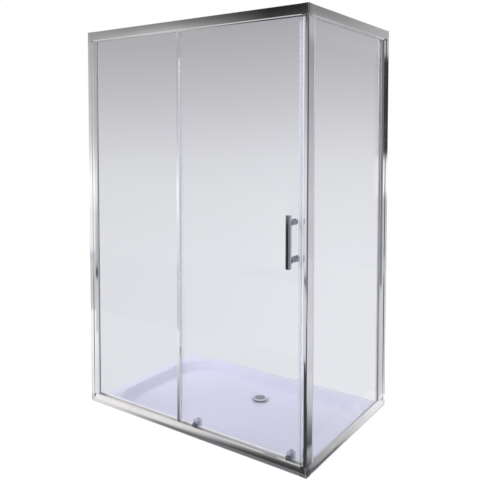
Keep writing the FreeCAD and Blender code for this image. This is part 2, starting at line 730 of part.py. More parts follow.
def profile_section(across, out, depth, reach, flat, inner_lip):
    """The adjusting profile: a box that slides in the channel, then a leaning face, and a
    groove for the glass edge. out() turns a distance from the wall into a place."""
    start, end = profile_start_inset, profile_end_inset
    tail = depth - s.tuck
    mouth = depth + reach
    inner_mouth = mouth + inner_lip
    groove_bottom = mouth - s.profile_groove_depth
    near_lip = s.groove_inset - s.lip_thickness
    far_lip = groove_end_inset + s.lip_thickness
    outline = [(start, tail), (start, depth + flat), (near_lip, mouth), (s.groove_inset, mouth),
               (s.groove_inset, groove_bottom), (groove_end_inset, groove_bottom),
               (groove_end_inset, inner_mouth), (far_lip, inner_mouth),
               (end, depth + flat), (end, tail)]
    chamber_end = groove_bottom - s.wall
    chamber = [(start + s.wall, tail + s.wall), (end - s.wall, tail + s.wall),
               (end - s.wall, chamber_end), (start + s.wall, chamber_end)]
    turn = [[(across(inset), out(distance)) for inset, distance in points]
            for points in (outline, chamber)]
    return turn[0], turn[1]


def from_left(distance):
    return left_wall + distance


def from_rear(distance):
    return rear_wall - distance


def swapped(points):
    return [(b, a) for a, b in points]


def wall_hole_heights():
    """Four holes, evenly spaced between the first and the last."""
    span = s.frame_height - s.wall_hole_end * 2
    return [s.wall_hole_end + span * number / 3 for number in range(4)]


def lock_heights():
    """Lock screws, evenly spaced, half a space from each end."""
    count = int(s.lock_screw_count.number)
    return [s.frame_height * (number * 2 + 1) / (s.lock_screw_count * 2)
            for number in range(count)]


def make_wall_set(label, along_x):
    """Wall channel, adjusting profile and lock screws of one wall."""
    depth = s.channel_depth if along_x else s.rear_channel_depth
    across, out = (front, from_left) if along_x else (side, from_rear)
    if along_x:
        reach, flat, lip = s.left_profile_reach, s.left_profile_flat, as_size(0)
    else:
        reach, flat, lip = s.rear_profile_reach, s.rear_profile_flat, s.rear_inner_lip

    def oriented(points):
        return swapped(points) if along_x else points

    channel = extrusion(f"{label}_wall_channel", "Z",
                        oriented(channel_section(across, out, depth)), [],
                        rim_top, s.frame_height)
    into_wall, into_flange = ("X", "Y") if along_x else ("Y", "X")
    middle = across(s.channel_width / 2)
    base = new_sketch(channel, into_wall, left_wall if along_x else -rear_wall)
    for height in wall_hole_heights():
        draw_circle(base, (middle, height), s.wall_hole_radius)
    add_pocket(channel, base, s.wall * 2, backwards=True)

    outline, chamber = profile_section(across, out, depth, reach, flat, lip)
    profile = extrusion(f"{label}_adjusting_profile", "Z", oriented(outline),
                        [oriented(chamber)], upright_low, upright_high - upright_low)

    # lock screws go through the channel's inner flange into the profile
    screw_place = out(depth - s.lock_screw_from_mouth)
    inner_face = across(s.channel_width)
    hole = s.lock_screw_radius + s.screw_clearance
    for body, lift in ((channel, as_size(0)), (profile, s.bottom_face)):
        drilling = new_sketch(body, into_flange, -inner_face if along_x else inner_face)
        for height in lock_heights():
            draw_circle(drilling, (screw_place, height - lift), hole)
        add_pocket(body, drilling, s.wall * 3, backwards=True)

    screws = []
    into = -1 if along_x else 1
    for number, height in enumerate(lock_heights(), start=1):
        shape = [(0, s.lock_screw_length * into), (0, s.lock_screw_head_height * -into),
                 (s.lock_screw_head * 0.7, s.lock_screw_head_height * -into),
                 (s.lock_screw_head, 0), (s.lock_screw_radius, 0),
                 (s.lock_screw_radius, s.lock_screw_length * into)]
        at = (screw_place, inner_face) if along_x else (inner_face, screw_place)
        screws.append(turned(f"{label}_lock_screw_{number}", "Y" if along_x else "X",
                             shape, at[0], at[1], rim_top + height))
    return channel, profile, screws


# ---------------------------------------------------------------- rails
def top_rail_outer(inner_side):
    """The part of the top rails' outline that front and return share, then inner_side."""
    face, lip = -s.top_face, -s.top_face - s.top_lip
    return ([(0, face), (0, 0)] + inner_side
            + [(inner_web_inset, face - s.inner_lip_drop),
               (groove_end_inset, face - s.inner_lip_drop),
               (groove_end_inset, -s.top_groove_roof), (s.groove_inset, -s.top_groove_roof),
               (s.groove_inset, lip), (s.groove_inset - s.web, lip),
               (s.groove_inset - s.web, face)])


def top_rail_hollows():
    front_chamber = box_points((s.wall, s.wall - s.top_face), (s.groove_inset - s.web, -s.wall))
    roof_chamber = box_points((s.groove_inset, s.web - s.top_groove_roof),
                              (groove_end_inset, -s.wall))
    return [front_chamber, roof_chamber]


def bottom_rail_outer(inner_side):
    return [(0, 0), (0, s.bottom_band), (s.bottom_lean, s.bottom_face - s.rail_foot),
            (s.bottom_lean + s.web / 2, s.bottom_face), (s.groove_inset, s.bottom_face),
            (s.groove_inset, s.bottom_groove_floor),
            (groove_end_inset, s.bottom_groove_floor)] + inner_side


def bottom_rail_hollow():
    return box_points((s.wall, s.wall), (groove_end_inset, s.bottom_groove_floor - s.web))


def moved(points, across):
    return [(across(inset), height) for inset, height in points]


def round_long_edges(body, along, corners, radius):
    """Round the edges that run the rail's length through these (inset place, height)."""
    axis = along.lower()
    other = "y" if axis == "x" else "x"
    feature = body.Tip

    def on_corner(point):
        return any(near(getattr(point, other), place_) and near(point.z, height)
                   for place_, height in corners)

    names = []
    for number, edge in enumerate(feature.Shape.Edges, start=1):
        ends = [vertex.Point for vertex in edge.Vertexes]
        runs = len(ends) == 2 and abs(getattr(ends[0] - ends[1], axis)) > 1
        if runs and all(on_corner(point) for point in ends):
            names.append(f"Edge{number}")
    add_fillet(body, feature, names, radius)


def make_rails():
    face = -s.top_face
    lip_floor = face + s.web
    front_length = front_rail_right_end - rail_left_end
    return_length = return_rail_rear_end - return_rail_front_end

    track_side = [
        (s.front_rail_depth, 0), (s.front_rail_depth, face), (s.top_fin_inset, face),
        (s.top_fin_inset, face + s.top_fin_height),
        (s.top_fin_inset + s.web, face + s.top_fin_height),
        (s.top_fin_inset + s.web, lip_floor), (s.front_rail_depth - s.wall, lip_floor),
        (s.front_rail_depth - s.wall, -s.wall), (inner_web_inset, -s.wall)]
    front_top = extrusion("front_top_rail", "X", moved(top_rail_outer(track_side), front),
                          [moved(hollow, front) for hollow in top_rail_hollows()],
                          rail_left_end, front_length)
    bind(front_top, "Placement.Base.z", frame_top)

    plain_side = [(s.return_rail_depth, 0), (s.return_rail_depth, face), (inner_web_inset, face)]
    inner_chamber = box_points((inner_web_inset, face + s.wall),
                               (s.return_rail_depth - s.wall, -s.wall))
    return_hollows = top_rail_hollows() + [inner_chamber]
    return_top = extrusion("return_top_rail", "Y", moved(top_rail_outer(plain_side), side),
                           [moved(hollow, side) for hollow in return_hollows],
                           return_rail_front_end, return_length)
    bind(return_top, "Placement.Base.z", frame_top)

    fin_end = s.bottom_fin_inset + s.web
    track_inner = s.track_web_inset + s.web
    track_side = [
        (groove_end_inset, s.bottom_inner_web), (inner_web_inset, s.bottom_inner_web),
        (inner_web_inset, s.rail_foot), (s.track_web_inset, s.rail_foot),
        (s.track_web_inset, s.track_height), (fin_end, s.track_height),
        (fin_end, s.bottom_fin_tip), (s.bottom_fin_inset, s.bottom_fin_tip),
        (s.bottom_fin_inset, s.track_height - s.web), (track_inner, s.track_height - s.web),
        (track_inner, s.rail_foot), (s.front_rail_depth, s.rail_foot),
        (s.front_rail_depth, 0)]
    front_bottom = extrusion(
        "front_bottom_rail", "X", moved(bottom_rail_outer(track_side), front),
        [moved(bottom_rail_hollow(), front)], rail_left_end, front_length)
    bind(front_bottom, "Placement.Base.z", rim_top)

    plain_side = [(groove_end_inset, s.return_inner_web), (inner_web_inset, s.return_inner_web),
                  (s.return_rail_depth, s.return_toe), (s.return_rail_depth, 0)]
    return_bottom = extrusion(
        "return_bottom_rail", "Y", moved(bottom_rail_outer(plain_side), side),
        [moved(bottom_rail_hollow(), side)], return_rail_front_end, return_length)
    bind(return_bottom, "Placement.Base.z", rim_top)

    doc.recompute()
    for body, along, across in ((front_top, "X", front), (return_top, "Y", side)):
        round_long_edges(body, along, [(across(0), 0), (across(0), face)], s.extrusion_round)
    for body, along, across in ((front_bottom, "X", front), (return_bottom, "Y", side)):
        round_long_edges(body, along, [(across(0), s.bottom_band)], s.extrusion_round)

    slots = new_sketch(front_bottom, "Y", -front(s.track_web_inset + s.web * 2))
    count = int(s.weep_slot_count.number)
    for number in range(count):
        middle = front_length * (number * 2 + 1) / (s.weep_slot_count * 2)
        low = (middle - s.weep_slot_length / 2, s.rail_foot)
        high = (middle + s.weep_slot_length / 2, s.rail_foot + s.weep_slot_height)
        draw_outline(slots, box_points(low, high))
    add_pocket(front_bottom, slots, s.web * 3, backwards=True)
    return [front_top, front_bottom, return_top, return_bottom]


# ---------------------------------------------------------------- post and corner caps
def make_post():
    chamfer = s.post_width - s.post_front_width
    groove_bottom = s.post_depth - s.profile_groove_depth
    outline = [(0, 0), (s.post_front_width, 0), (s.post_width, chamfer),
               (s.post_width, s.post_depth), (groove_end_inset, s.post_depth),
               (groove_end_inset, groove_bottom), (s.groove_inset, groove_bottom),
               (s.groove_inset, s.post_depth), (0, s.post_depth)]
    inner = s.post_width - s.wall
    chamber = [(s.wall, s.wall), (s.post_front_width - s.wall / 2, s.wall),
               (inner, chamfer + s.wall / 2), (inner, groove_bottom - s.wall),
               (s.wall, groove_bottom - s.wall)]
    body = extrusion("corner_post", "Z", [(side(v), front(u)) for v, u in outline],
                     [[(side(v), front(u)) for v, u in chamber]],
                     upright_low, upright_high - upright_low)
    doc.recompute()
    pad = body.Tip
    names = matching_edges(
        pad, lambda point: near(point.x, side(0)) and near(point.y, front(0)))
    add_fillet(body, pad, names, s.post_round)
    return body


def make_cap(name, top):
    """A corner block with three tongues: in the front rail, the return rail and the post."""
    level = frame_top if top else rim_top
    body = new_body(name, 0, 0, level)
    outer_x, outer_y = s.tray_length / 2, -s.tray_width / 2
    inner_x, inner_y = front_rail_right_end, return_rail_front_end
    gap = s.tongue_gap

    def plan(sketch, drawn_in):
        draw_rounded(sketch, (inner_x, outer_y + drawn_in), (outer_x - drawn_in, inner_y),
                     [None, s.cap_round, None, None])

    if top:
        block = new_sketch(body, "Z", -s.top_face)
        plan(block, as_size(0))
        pad = add_pad(body, block, s.top_face)
        doc.recompute()
        outer_edges = matching_edges(pad, lambda point: near(point.z, 0) and not (
            near(point.x, inner_x) and near(point.y, inner_y)))
        add_fillet(body, pad, outer_edges, s.cap_edge_round)
        neck = new_sketch(body, "Z", -s.top_face - s.top_lip)
        chamfer = s.post_width - s.post_front_width
        draw_outline(neck, [
            (side(s.wall), front(s.wall)), (side(s.post_front_width), front(s.wall)),
            (side(s.post_width), front(s.wall + chamfer)), (side(s.post_width), inner_y),
            (side(s.wall), inner_y)])
        add_pad(body, neck, s.top_lip)
        rail_low, rail_high = s.wall - s.top_face + gap, -s.wall - gap
        chamber_end = s.groove_inset - s.web - gap
        tongue_level = -s.top_face - s.top_lip - s.tongue_length
    else:
        foot = new_sketch(body, "Z")
        plan(foot, as_size(0))
        add_pad(body, foot, s.bottom_band)
        lower = new_sketch(body, "Z", s.bottom_band)
        plan(lower, as_size(0))
        upper = new_sketch(body, "Z", s.bottom_face)
        plan(upper, s.bottom_lean)
        lean = body.newObject("PartDesign::AdditiveLoft", f"{name}_lean")
        lean.Profile = lower
        lean.Sections = [upper]
        lean.Ruled = True
        rail_low, rail_high = s.wall + gap, s.bottom_groove_floor - s.web - gap
        chamber_end = groove_end_inset - gap
        tongue_level = s.bottom_face
    chamber_start = s.wall + gap
    for across, plane, edge in ((front, "X", inner_x), (side, "Y", -inner_y)):
        tongue = new_sketch(body, plane, edge)
        draw_outline(tongue, box_points((across(chamber_start), rail_low),
                                        (across(chamber_end), rail_high)))
        add_pad(body, tongue, s.tongue_length, backwards=True)
    upright = new_sketch(body, "Z", tongue_level)
    half_chamfer = s.post_width - s.post_front_width + s.wall
    draw_outline(upright, box_points(
        (side(s.post_width - s.wall - gap), front(half_chamfer + gap)),
        (side(s.wall + gap), inner_y)))
    add_pad(body, upright, s.tongue_length)
    return body


# ---------------------------------------------------------------- glass and gaskets
def make_pane(name, across_y, plane_place, low, high, holes=()):
    """A flat pane; across_y panes face the front, the others face the return side."""
    axis = "Y" if across_y else "X"
    body = new_body(name)
    bind(body, f"Placement.Base.{axis.lower()}", plane_place)
    sketch = new_sketch(body, axis)
    draw_outline(sketch, box_points(low, high))
    for centre, radius in holes:
        draw_circle(sketch, centre, radius)
    add_pad(body, sketch, s.glass_thickness, backwards=across_y)
    return body


def make_fixed_panes():
    near_glass = s.fixed_glass_inset
    far_glass = s.fixed_glass_inset + s.glass_thickness
    pane_left = left_profile_end - s.profile_groove_depth + s.gasket_bottom
    pane_right = s.fixed_edge - s.edge_profile_bottom
    fixed = make_pane("fixed_glass", True, front(near_glass),
                      (pane_left, glass_low), (pane_right, glass_high))
    return_front = front(s.post_depth - s.profile_groove_depth) + s.gasket_bottom
    return_rear = rear_profile_end + s.profile_groove_depth - s.gasket_bottom
    returned = make_pane("return_glass", False, side(far_glass),
                         (return_front, glass_low), (return_rear, glass_high))

    across_front = tuple(front(inset) for inset in
                         (s.groove_inset, near_glass, far_glass, groove_end_inset))
    across_side = tuple(side(inset) for inset in
                        (s.groove_inset, near_glass, far_glass, groove_end_inset))
    bottom = (rim_top + s.bottom_groove_floor, glass_low,
              rim_top + s.bottom_inner_web + s.gasket_proud)
    top = (frame_top - s.top_groove_roof, glass_high,
           frame_top - s.top_face - s.inner_lip_drop - s.gasket_proud)
    upright_length = upright_high - upright_low

    def strip(name, along, points, start, length):
        return extrusion(name, along, points, [], start, length)

    left_edge = left_profile_end - s.profile_groove_depth
    left = strip("fixed_gasket_left", "Z", u_section(across_front, (
        left_edge, pane_left, left_profile_end + s.gasket_proud), False),
        upright_low, upright_length)
    start = left_profile_end + s.gasket_proud
    run = pane_right - s.edge_profile_width + s.edge_profile_bottom - start
    low = strip("fixed_gasket_bottom", "X", u_section(across_front, bottom), start, run)
    high = strip("fixed_gasket_top", "X", u_section(across_front, top), start, run)
    fixed_gaskets = group("fixed_glass_gaskets", [left, low, high])

    post_back = front(s.post_depth)
    cover_end = post_back + s.post_gasket_proud
    gasket_start = return_front - s.gasket_bottom
    post_strip = strip("return_gasket_front", "Z", [
        (across_side[0], gasket_start), (across_side[3], gasket_start),
        (across_side[3], cover_end), (across_side[2], cover_end),
        (across_side[2], return_front), (across_side[1], return_front),
        (across_side[1], cover_end), (side(s.post_gasket_inset), cover_end),
        (side(s.post_gasket_inset), post_back), (across_side[0], post_back)],
        upright_low, upright_length)
    rear_strip = strip("return_gasket_rear", "Z", u_section(across_side, (
        return_rear + s.gasket_bottom, return_rear, rear_profile_end - s.gasket_proud)),
        upright_low, upright_length)
    start = cover_end
    run = rear_profile_end - s.gasket_proud - start
    low = strip("return_gasket_bottom", "Y", u_section(across_side, bottom), start, run)
    high = strip("return_gasket_top", "Y", u_section(across_side, top), start, run)
    return_gaskets = group("return_glass_gaskets", [post_strip, rear_strip, low, high])

    # the rest of the front grooves is closed by filler strips
    fill_low = front(s.groove_inset + s.filler_gap)
    fill_high = front(groove_end_inset - s.filler_gap)
    filler_start = s.fixed_edge + s.filler_gap
    filler_run = front_rail_right_end - filler_start
    fillers = []
    for label, (floor, _, mouth) in (("bottom", bottom), ("top", top)):
        fillers.append(strip(f"filler_{label}", "X", box_points(
            (fill_low, floor), (fill_high, mouth)), filler_start, filler_run))
    filler_strips = group("groove_filler_strips", fillers)
    return [fixed, fixed_gaskets, returned, return_gaskets, filler_strips]


def make_edge_profile():
    """The profile on the fixed pane's free edge, with the fin that wipes the door."""
    outer = front(s.fixed_glass_inset - s.edge_profile_wall)
    glass_near = front(s.fixed_glass_inset)
    glass_far = front(s.fixed_glass_inset + s.glass_thickness)
    inner = front(s.fixed_glass_inset + s.glass_thickness + s.edge_profile_wall)
    end = s.fixed_edge
    edge = end - s.edge_profile_bottom
    mouth = fixed_profile_mouth
    low = rim_top + s.bottom_inner_web + s.gasket_proud
    high = frame_top - s.top_face - s.inner_lip_drop - s.gasket_proud
    body = extrusion("fixed_edge_profile", "Z",
                     u_section((outer, glass_near, glass_far, inner), (end, edge, mouth), False),
                     [], low, high - low)
    fin_low = upright_low + s.fin_end_gap - low
    fin_high = upright_high - s.fin_end_gap - low
    fin = new_sketch(body, "Z", fin_low)
    draw_outline(fin, box_points((mouth, inner),
                                 (mouth + s.fin_thickness, inner + s.fin_reach)))
    add_pad(body, fin, fin_high - fin_low)
    return body


# ---------------------------------------------------------------- door
ROLLER_PLACES = (("left", left_roller), ("right", right_roller))


def make_door_glass():
    low = rim_top + s.door_bottom_gap
    high = frame_top - s.door_top_gap
    holes = []
    for _, place_x in ROLLER_PLACES:
        holes.append(((place_x, top_axis_height), s.glass_hole_radius))
        holes.append(((place_x, rim_top + s.bottom_hole_height), s.glass_hole_radius))
    for height in (lower_post, upper_post):
        holes.append(((handle_x, height), s.handle_hole_radius))
    return make_pane("door_glass", True, door_outer, (door_left, low), (door_right, high),
                     holes)


def make_door_seals():
    low = rim_top + s.bottom_face + s.gasket_proud
    high = frame_top - s.top_face - s.top_lip - s.gasket_proud
    wall = s.seal_clip_wall
    outer, inner = door_outer - wall, door_inner + wall
    across = (outer, door_outer, door_inner, inner)
    free_edge = door_left - s.edge_profile_bottom
    trailing = extrusion("door_trailing_profile", "Z", u_section(across, (
        free_edge, door_left, door_left + s.trailing_clip_width), False), [],
        low, high - low)
    hook_low = upright_low + s.fin_end_gap - low
    hook_high = upright_high - s.fin_end_gap - low
    hook = new_sketch(trailing, "Z", hook_low)
    draw_outline(hook, box_points((free_edge, outer - s.fin_reach),
                                  (free_edge + s.fin_thickness, outer)))
    add_pad(trailing, hook, hook_high - hook_low)

    post_magnet_face = post_face - s.magnet_thickness
    nose_end = post_magnet_face - s.wipe_gap
    nose_start = nose_end - s.magnet_nose
    middle = (door_outer + door_inner) / 2
    half_magnet = s.glass_thickness / 2 + wall - s.magnet_step
    seal_outline = [
        (door_right - s.seal_clip_length, outer), (nose_start, outer),
        (nose_start, middle - half_magnet), (nose_end, middle - half_magnet),
        (nose_end, middle + half_magnet), (nose_start, middle + half_magnet),
        (nose_start, inner), (door_right - s.seal_clip_length, inner),
        (door_right - s.seal_clip_length, door_inner), (door_right, door_inner),
        (door_right, door_outer), (door_right - s.seal_clip_length, door_outer)]
    bellows = box_points((door_right + wall, door_outer + wall / 2),
                         (nose_start - wall / 2, door_inner - wall / 2))
    seal = extrusion("door_magnet_seal", "Z", seal_outline, [bellows], low, high - low)
    strip = extrusion("post_magnet_strip", "Z", box_points(
        (post_magnet_face, middle - half_magnet), (post_face, middle + half_magnet)), [],
        upright_low, upright_high - upright_low)
    return [trailing, seal, strip]


def make_handle():
    bar_back = door_outer - s.handle_reach
    bar_front = bar_back - s.handle_width
    half = s.handle_width / 2
    bar = new_body("handle_bar", 0, 0, rim_top + s.handle_low)
    section = new_sketch(bar, "Z")
    draw_rounded(section, (handle_x - half, bar_front), (handle_x + half, bar_back),
                 [s.handle_round] * 4)
    add_pad(bar, section, s.handle_length)

    stud_bore = s.handle_stud_radius + s.screw_clearance
    post_front, post_back = bar_back, door_outer - s.handle_washer
    inner_seat = door_inner + s.handle_washer
    posts, washers, studs, inner_pieces = [], [], [], []
    for label, height, inner_name, inner_radius, inner_length in (
            ("lower", lower_post, "handle_inner_knob", s.inner_knob_radius,
             s.inner_knob_length),
            ("upper", upper_post, "handle_inner_cap", s.inner_cap_radius,
             s.inner_cap_length)):
        bored_from = post_back - s.handle_stud_bite
        posts.append(turned(f"handle_post_{label}", "Y", [
            (0, post_front), (s.handle_post_radius, post_front),
            (s.handle_post_radius, post_back), (stud_bore, post_back),
            (stud_bore, bored_from), (0, bored_from)], handle_x, 0, height))
        for place_name, start, radius in (("outer", post_back, s.handle_post_radius),
                                          ("inner", door_inner, inner_radius)):
            end = start + s.handle_washer
            washers.append(turned(f"handle_washer_{label}_{place_name}", "Y", [
                (stud_bore, start), (radius, start), (radius, end), (stud_bore, end)],
                handle_x, 0, height))
        stud_end = inner_seat + inner_length - s.inner_knob_round
        studs.append(turned(f"handle_stud_{label}", "Y", [
            (0, bored_from), (s.handle_stud_radius, bored_from),
            (s.handle_stud_radius, stud_end), (0, stud_end)], handle_x, 0, height))
        knob_end = inner_seat + inner_length
        inner_pieces.append(turned(inner_name, "Y", [
            (stud_bore, inner_seat), (inner_radius, inner_seat),
            (inner_radius, knob_end - s.inner_knob_round),
            (inner_radius - s.inner_knob_round, knob_end), (0, knob_end),
            (0, stud_end), (stud_bore, stud_end)], handle_x, 0, height))
    return [bar, group("handle_posts", posts), group("handle_washers", washers),
            group("handle_studs", studs)] + inner_pieces


# ---------------------------------------------------------------- rollers
def wheel_profile(groove, rim):
    """Grooved wheel: hub, recessed web, rim ring and a groove that runs on a fin."""
    half = s.wheel_width / 2
    bore = s.axle_radius + s.screw_clearance
    side_half = [(bore, -half), (s.hub_radius, -half), (s.hub_radius, s.hub_recess - half),
                 (rim - s.rim_ring, s.hub_recess - half), (rim - s.rim_ring, -half),
                 (rim, -half), (rim, -s.groove_mouth_half), (groove, -s.groove_half_width)]
    other_half = [(radius, -place_) for radius, place_ in reversed(side_half)]
    return side_half + other_half


def make_top_roller(label, place_x):
    wheel = turned(f"top_roller_wheel_{label}", "Y",
                   wheel_profile(s.top_wheel_groove, s.top_wheel_rim),
                   place_x, top_wheel_middle, top_axis_height)

    bracket = new_body(f"top_roller_bracket_{label}", place_x, door_inner, top_axis_height)
    plate = new_sketch(bracket, "Y")
    half_width, half_height = s.bracket_width / 2, s.bracket_height / 2
    bore = s.axle_radius + s.screw_clearance
    draw_rounded(plate, (-half_width, -half_height), (half_width, half_height),
                 [s.bracket_round] * 4)
    draw_circle(plate, (0, 0), bore)
    add_pad(bracket, plate, s.bracket_thickness, backwards=True)
    bush = new_sketch(bracket, "Y")
    draw_circle(bush, (0, 0), s.glass_hole_radius - s.bush_gap)
    draw_circle(bush, (0, 0), bore)
    add_pad(bracket, bush, s.glass_thickness)

    wheel_half = s.wheel_width / 2
    head_start = top_wheel_middle + wheel_half + s.axle_side_gap
    head_end = head_start + s.axle_head_thickness
    disc_outer = door_outer - s.clamp_disc_thickness
    rounded_off = s.clamp_disc_thickness / 3
    axle = turned(f"top_roller_axle_{label}", "Y", [
        (0, disc_outer), (s.clamp_disc_radius - rounded_off, disc_outer),
        (s.clamp_disc_radius, disc_outer + rounded_off), (s.clamp_disc_radius, door_outer),
        (s.axle_radius, door_outer), (s.axle_radius, head_start),
        (s.axle_head_radius, head_start), (s.axle_head_radius, head_end), (0, head_end)],
        place_x, 0, top_axis_height)
    return [wheel, bracket, axle]


def make_bottom_roller(label, place_x):
    """Housing over the track, sprung carriage with its button, spring, axle and wheel."""
    wheel = turned(f"bottom_roller_wheel_{label}", "Y",
                   wheel_profile(s.bottom_wheel_groove, s.bottom_wheel_rim),
                   place_x, bottom_wheel_middle, bottom_axis_height)

    housing = new_body(f"bottom_roller_housing_{label}", place_x, 0, rim_top)
    section = new_sketch(housing, "X")
    draw_outline(section, [
        (front(s.door_inset + s.glass_thickness), s.housing_neck_low),
        (front(s.housing_start), s.housing_neck_low), (front(s.housing_start), s.housing_low),
        (front(s.housing_end), s.housing_low), (front(s.housing_end), s.housing_high),
        (front(s.door_inset + s.glass_thickness), s.housing_high)])
    pad = add_pad(housing, section, s.housing_width, both_ways=True)
    doc.recompute()
    back = front(s.housing_end)
    back_edges = matching_edges(pad, lambda point: near(point.y, back))
    add_fillet(housing, pad, back_edges, s.housing_round)
    half_slot = s.carriage_width / 2 + s.carriage_gap
    slot_start = s.carriage_start - s.carriage_gap
    slot_end = s.carriage_start + s.carriage_thickness + s.carriage_gap
    slot_top = s.carriage_high + s.carriage_head_room
    slot = new_sketch(housing, "Z", s.housing_low)
    draw_outline(slot, box_points((-half_slot, front(slot_start)), (half_slot, front(slot_end))))
    add_pocket(housing, slot, slot_top - s.housing_low, backwards=True)
    stem_place = front(s.carriage_start + s.carriage_thickness / 2)
    stem_hole = new_sketch(housing, "Z", s.carriage_high - s.release_travel - s.carriage_gap)
    draw_circle(stem_hole, (0, stem_place), s.stem_radius + s.carriage_gap)
    add_pocket(housing, stem_hole, s.housing_high, backwards=True)
    well = new_sketch(housing, "Z", s.housing_high - s.button_well_depth)
    draw_circle(well, (0, stem_place), s.button_well_radius)
    add_pocket(housing, well, s.button_well_depth * 2, backwards=True)
    screw_hole = new_sketch(housing, "Y", -door_inner)
    draw_circle(screw_hole, (0, s.bottom_hole_height), s.knob_shank_radius + s.screw_clearance)
    bite = s.knob_shank_length - s.glass_thickness
    add_pocket(housing, screw_hole, bite + s.bush_gap, backwards=False)

    carriage = new_body(f"bottom_roller_carriage_{label}", place_x, 0, rim_top)
    plate = new_sketch(carriage, "Y", -front(s.carriage_start))
    half_plate = s.carriage_width / 2
    draw_outline(plate, box_points((-half_plate, s.carriage_low), (half_plate, s.carriage_high)))
    axis_above_rim = bottom_axis_height - rim_top
    draw_circle(plate, (0, axis_above_rim), s.axle_radius + s.screw_clearance)
    add_pad(carriage, plate, s.carriage_thickness, backwards=True)
    stem = new_sketch(carriage, "Z", s.carriage_high)
    draw_circle(stem, (0, stem_place), s.stem_radius)
    add_pad(carriage, stem, s.button_low - s.carriage_high)
    button = new_sketch(carriage, "Z", s.button_low)
    draw_circle(button, (0, stem_place), s.button_radius)
    add_pad(carriage, button, s.button_high - s.button_low)

    spring_low = rim_top + s.housing_high - s.button_well_depth
    spring_room = s.button_low - s.housing_high + s.button_well_depth
    helix = doc.addObject("Part::Helix", f"spring_line_{label}")
    bind(helix, "Pitch", s.spring_pitch)
    bind(helix, "Height", spring_room - s.spring_wire * 2 - s.spring_seat_gap * 2)
    bind(helix, "Radius", s.spring_radius)
    place(helix, place_x, stem_place, spring_low + s.spring_wire + s.spring_seat_gap)
    wire = doc.addObject("Part::RegularPolygon", f"spring_wire_{label}")
    bind(wire, "Polygon", s.spring_wire_sides)
    bind(wire, "Circumradius", s.spring_wire)
    wire.Placement.Rotation = FreeCAD.Rotation(Vector(1, 0, 0), 90)
    place(wire, place_x + s.spring_radius, stem_place,
          spring_low + s.spring_wire + s.spring_seat_gap)
    doc.recompute()
    spring = doc.addObject("Part::Sweep", f"bottom_roller_spring_{label}")
    spring.Label = f"bottom_roller_spring_{label}"
    spring.Sections = [wire]
    spring.Spine = (helix, ["Edge1"])
    spring.Solid = True
    spring.Frenet = True

    wheel_half = s.wheel_width / 2
    head_end = bottom_wheel_middle - wheel_half - s.axle_side_gap
    axle_end = front(s.carriage_start + s.carriage_thickness)
    axle = turned(f"bottom_roller_axle_{label}", "Y", [
        (0, head_end - s.axle_head_thickness), (s.axle_head_radius,
                                                head_end - s.axle_head_thickness),
        (s.axle_head_radius, head_end), (s.axle_radius, head_end), (s.axle_radius, axle_end),
        (0, axle_end)], place_x, 0, bottom_axis_height)
    return [wheel, housing, carriage, spring, axle]


def make_bottom_knobs():
    knobs = []
    for label, place_x in ROLLER_PLACES:
        knobs.append(turned(f"bottom_roller_knob_{label}", "Y", [
            (0, -s.knob_thickness), (s.knob_radius - s.knob_edge, -s.knob_thickness),
            (s.knob_radius, s.knob_edge - s.knob_thickness), (s.knob_radius, 0),
            (s.knob_shank_radius, 0), (s.knob_shank_radius, s.knob_shank_length),
            (0, s.knob_shank_length)], place_x, door_outer, rim_top + s.bottom_hole_height))
    return group("bottom_roller_knobs", knobs)


def make_bump_stops():
    """Rubber blocks that stand in the top rail over its fin and stop the wheels."""
    reach = s.top_wheel_rim + s.stop_gap
    floor = frame_top - s.top_face + s.web
    end_inset = s.front_rail_depth - s.wall
    fin_low = s.top_fin_inset - s.wipe_gap
    fin_high = s.top_fin_inset + s.web + s.wipe_gap
    fin_top = frame_top - s.top_face + s.top_fin_height + s.wipe_gap
    outline = [(s.stop_start, floor), (fin_low, floor), (fin_low, fin_top),
               (fin_high, fin_top), (fin_high, floor), (end_inset, floor),
               (end_inset, floor + s.stop_height), (s.stop_start, floor + s.stop_height)]
    stops = []
    for label, start in (
            ("left", left_roller - door_travel - reach - s.stop_length),
            ("right", right_roller + reach)):
        stops.append(extrusion(f"bump_stop_{label}", "X", moved(outline, front), [], start,
                               s.stop_length))
    return group("rail_bump_stops", stops)


# ---------------------------------------------------------------- the whole enclosure
pieces = [make_tray()] + make_waste()
left_channel, left_profile, left_screws = make_wall_set("left", True)
rear_channel, rear_profile, rear_screws = make_wall_set("rear", False)
pieces += [left_channel, left_profile, rear_channel, rear_profile]
pieces.append(group("profile_lock_screws", left_screws + rear_screws))
pieces += make_rails()
pieces += [make_post(), make_cap("top_corner_cap", True), make_cap("bottom_corner_cap", False)]
pieces += make_fixed_panes()
pieces.append(make_edge_profile())
pieces.append(make_door_glass())
pieces += make_door_seals()
pieces += make_handle()
for label, place_x in ROLLER_PLACES:
    pieces += make_top_roller(label, place_x)
    pieces += make_bottom_roller(label, place_x)
pieces += [make_bottom_knobs(), make_bump_stops()]
doc.recompute()

for thing in doc.Objects:
    if "Invalid" in thing.State or "Error" in thing.State:
        raise RuntimeError(f"{thing.Name} did not compute: {thing.State}")
for piece in pieces:
    if piece.Shape.isNull() or not piece.Shape.isValid() or not piece.Shape.Solids:
        raise RuntimeError(f"{piece.Label} has no valid shape")
for piece in pieces:
    piece.Shape.exportStep(f"parts/{piece.Label}.step")
print(len(pieces), "nodes written")
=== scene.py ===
"""Looks of the corner shower enclosure: finishes, small pieces, studio and camera.

Metres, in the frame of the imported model: X along the front, Y to the rear wall, Z up.
"""
import json
import math

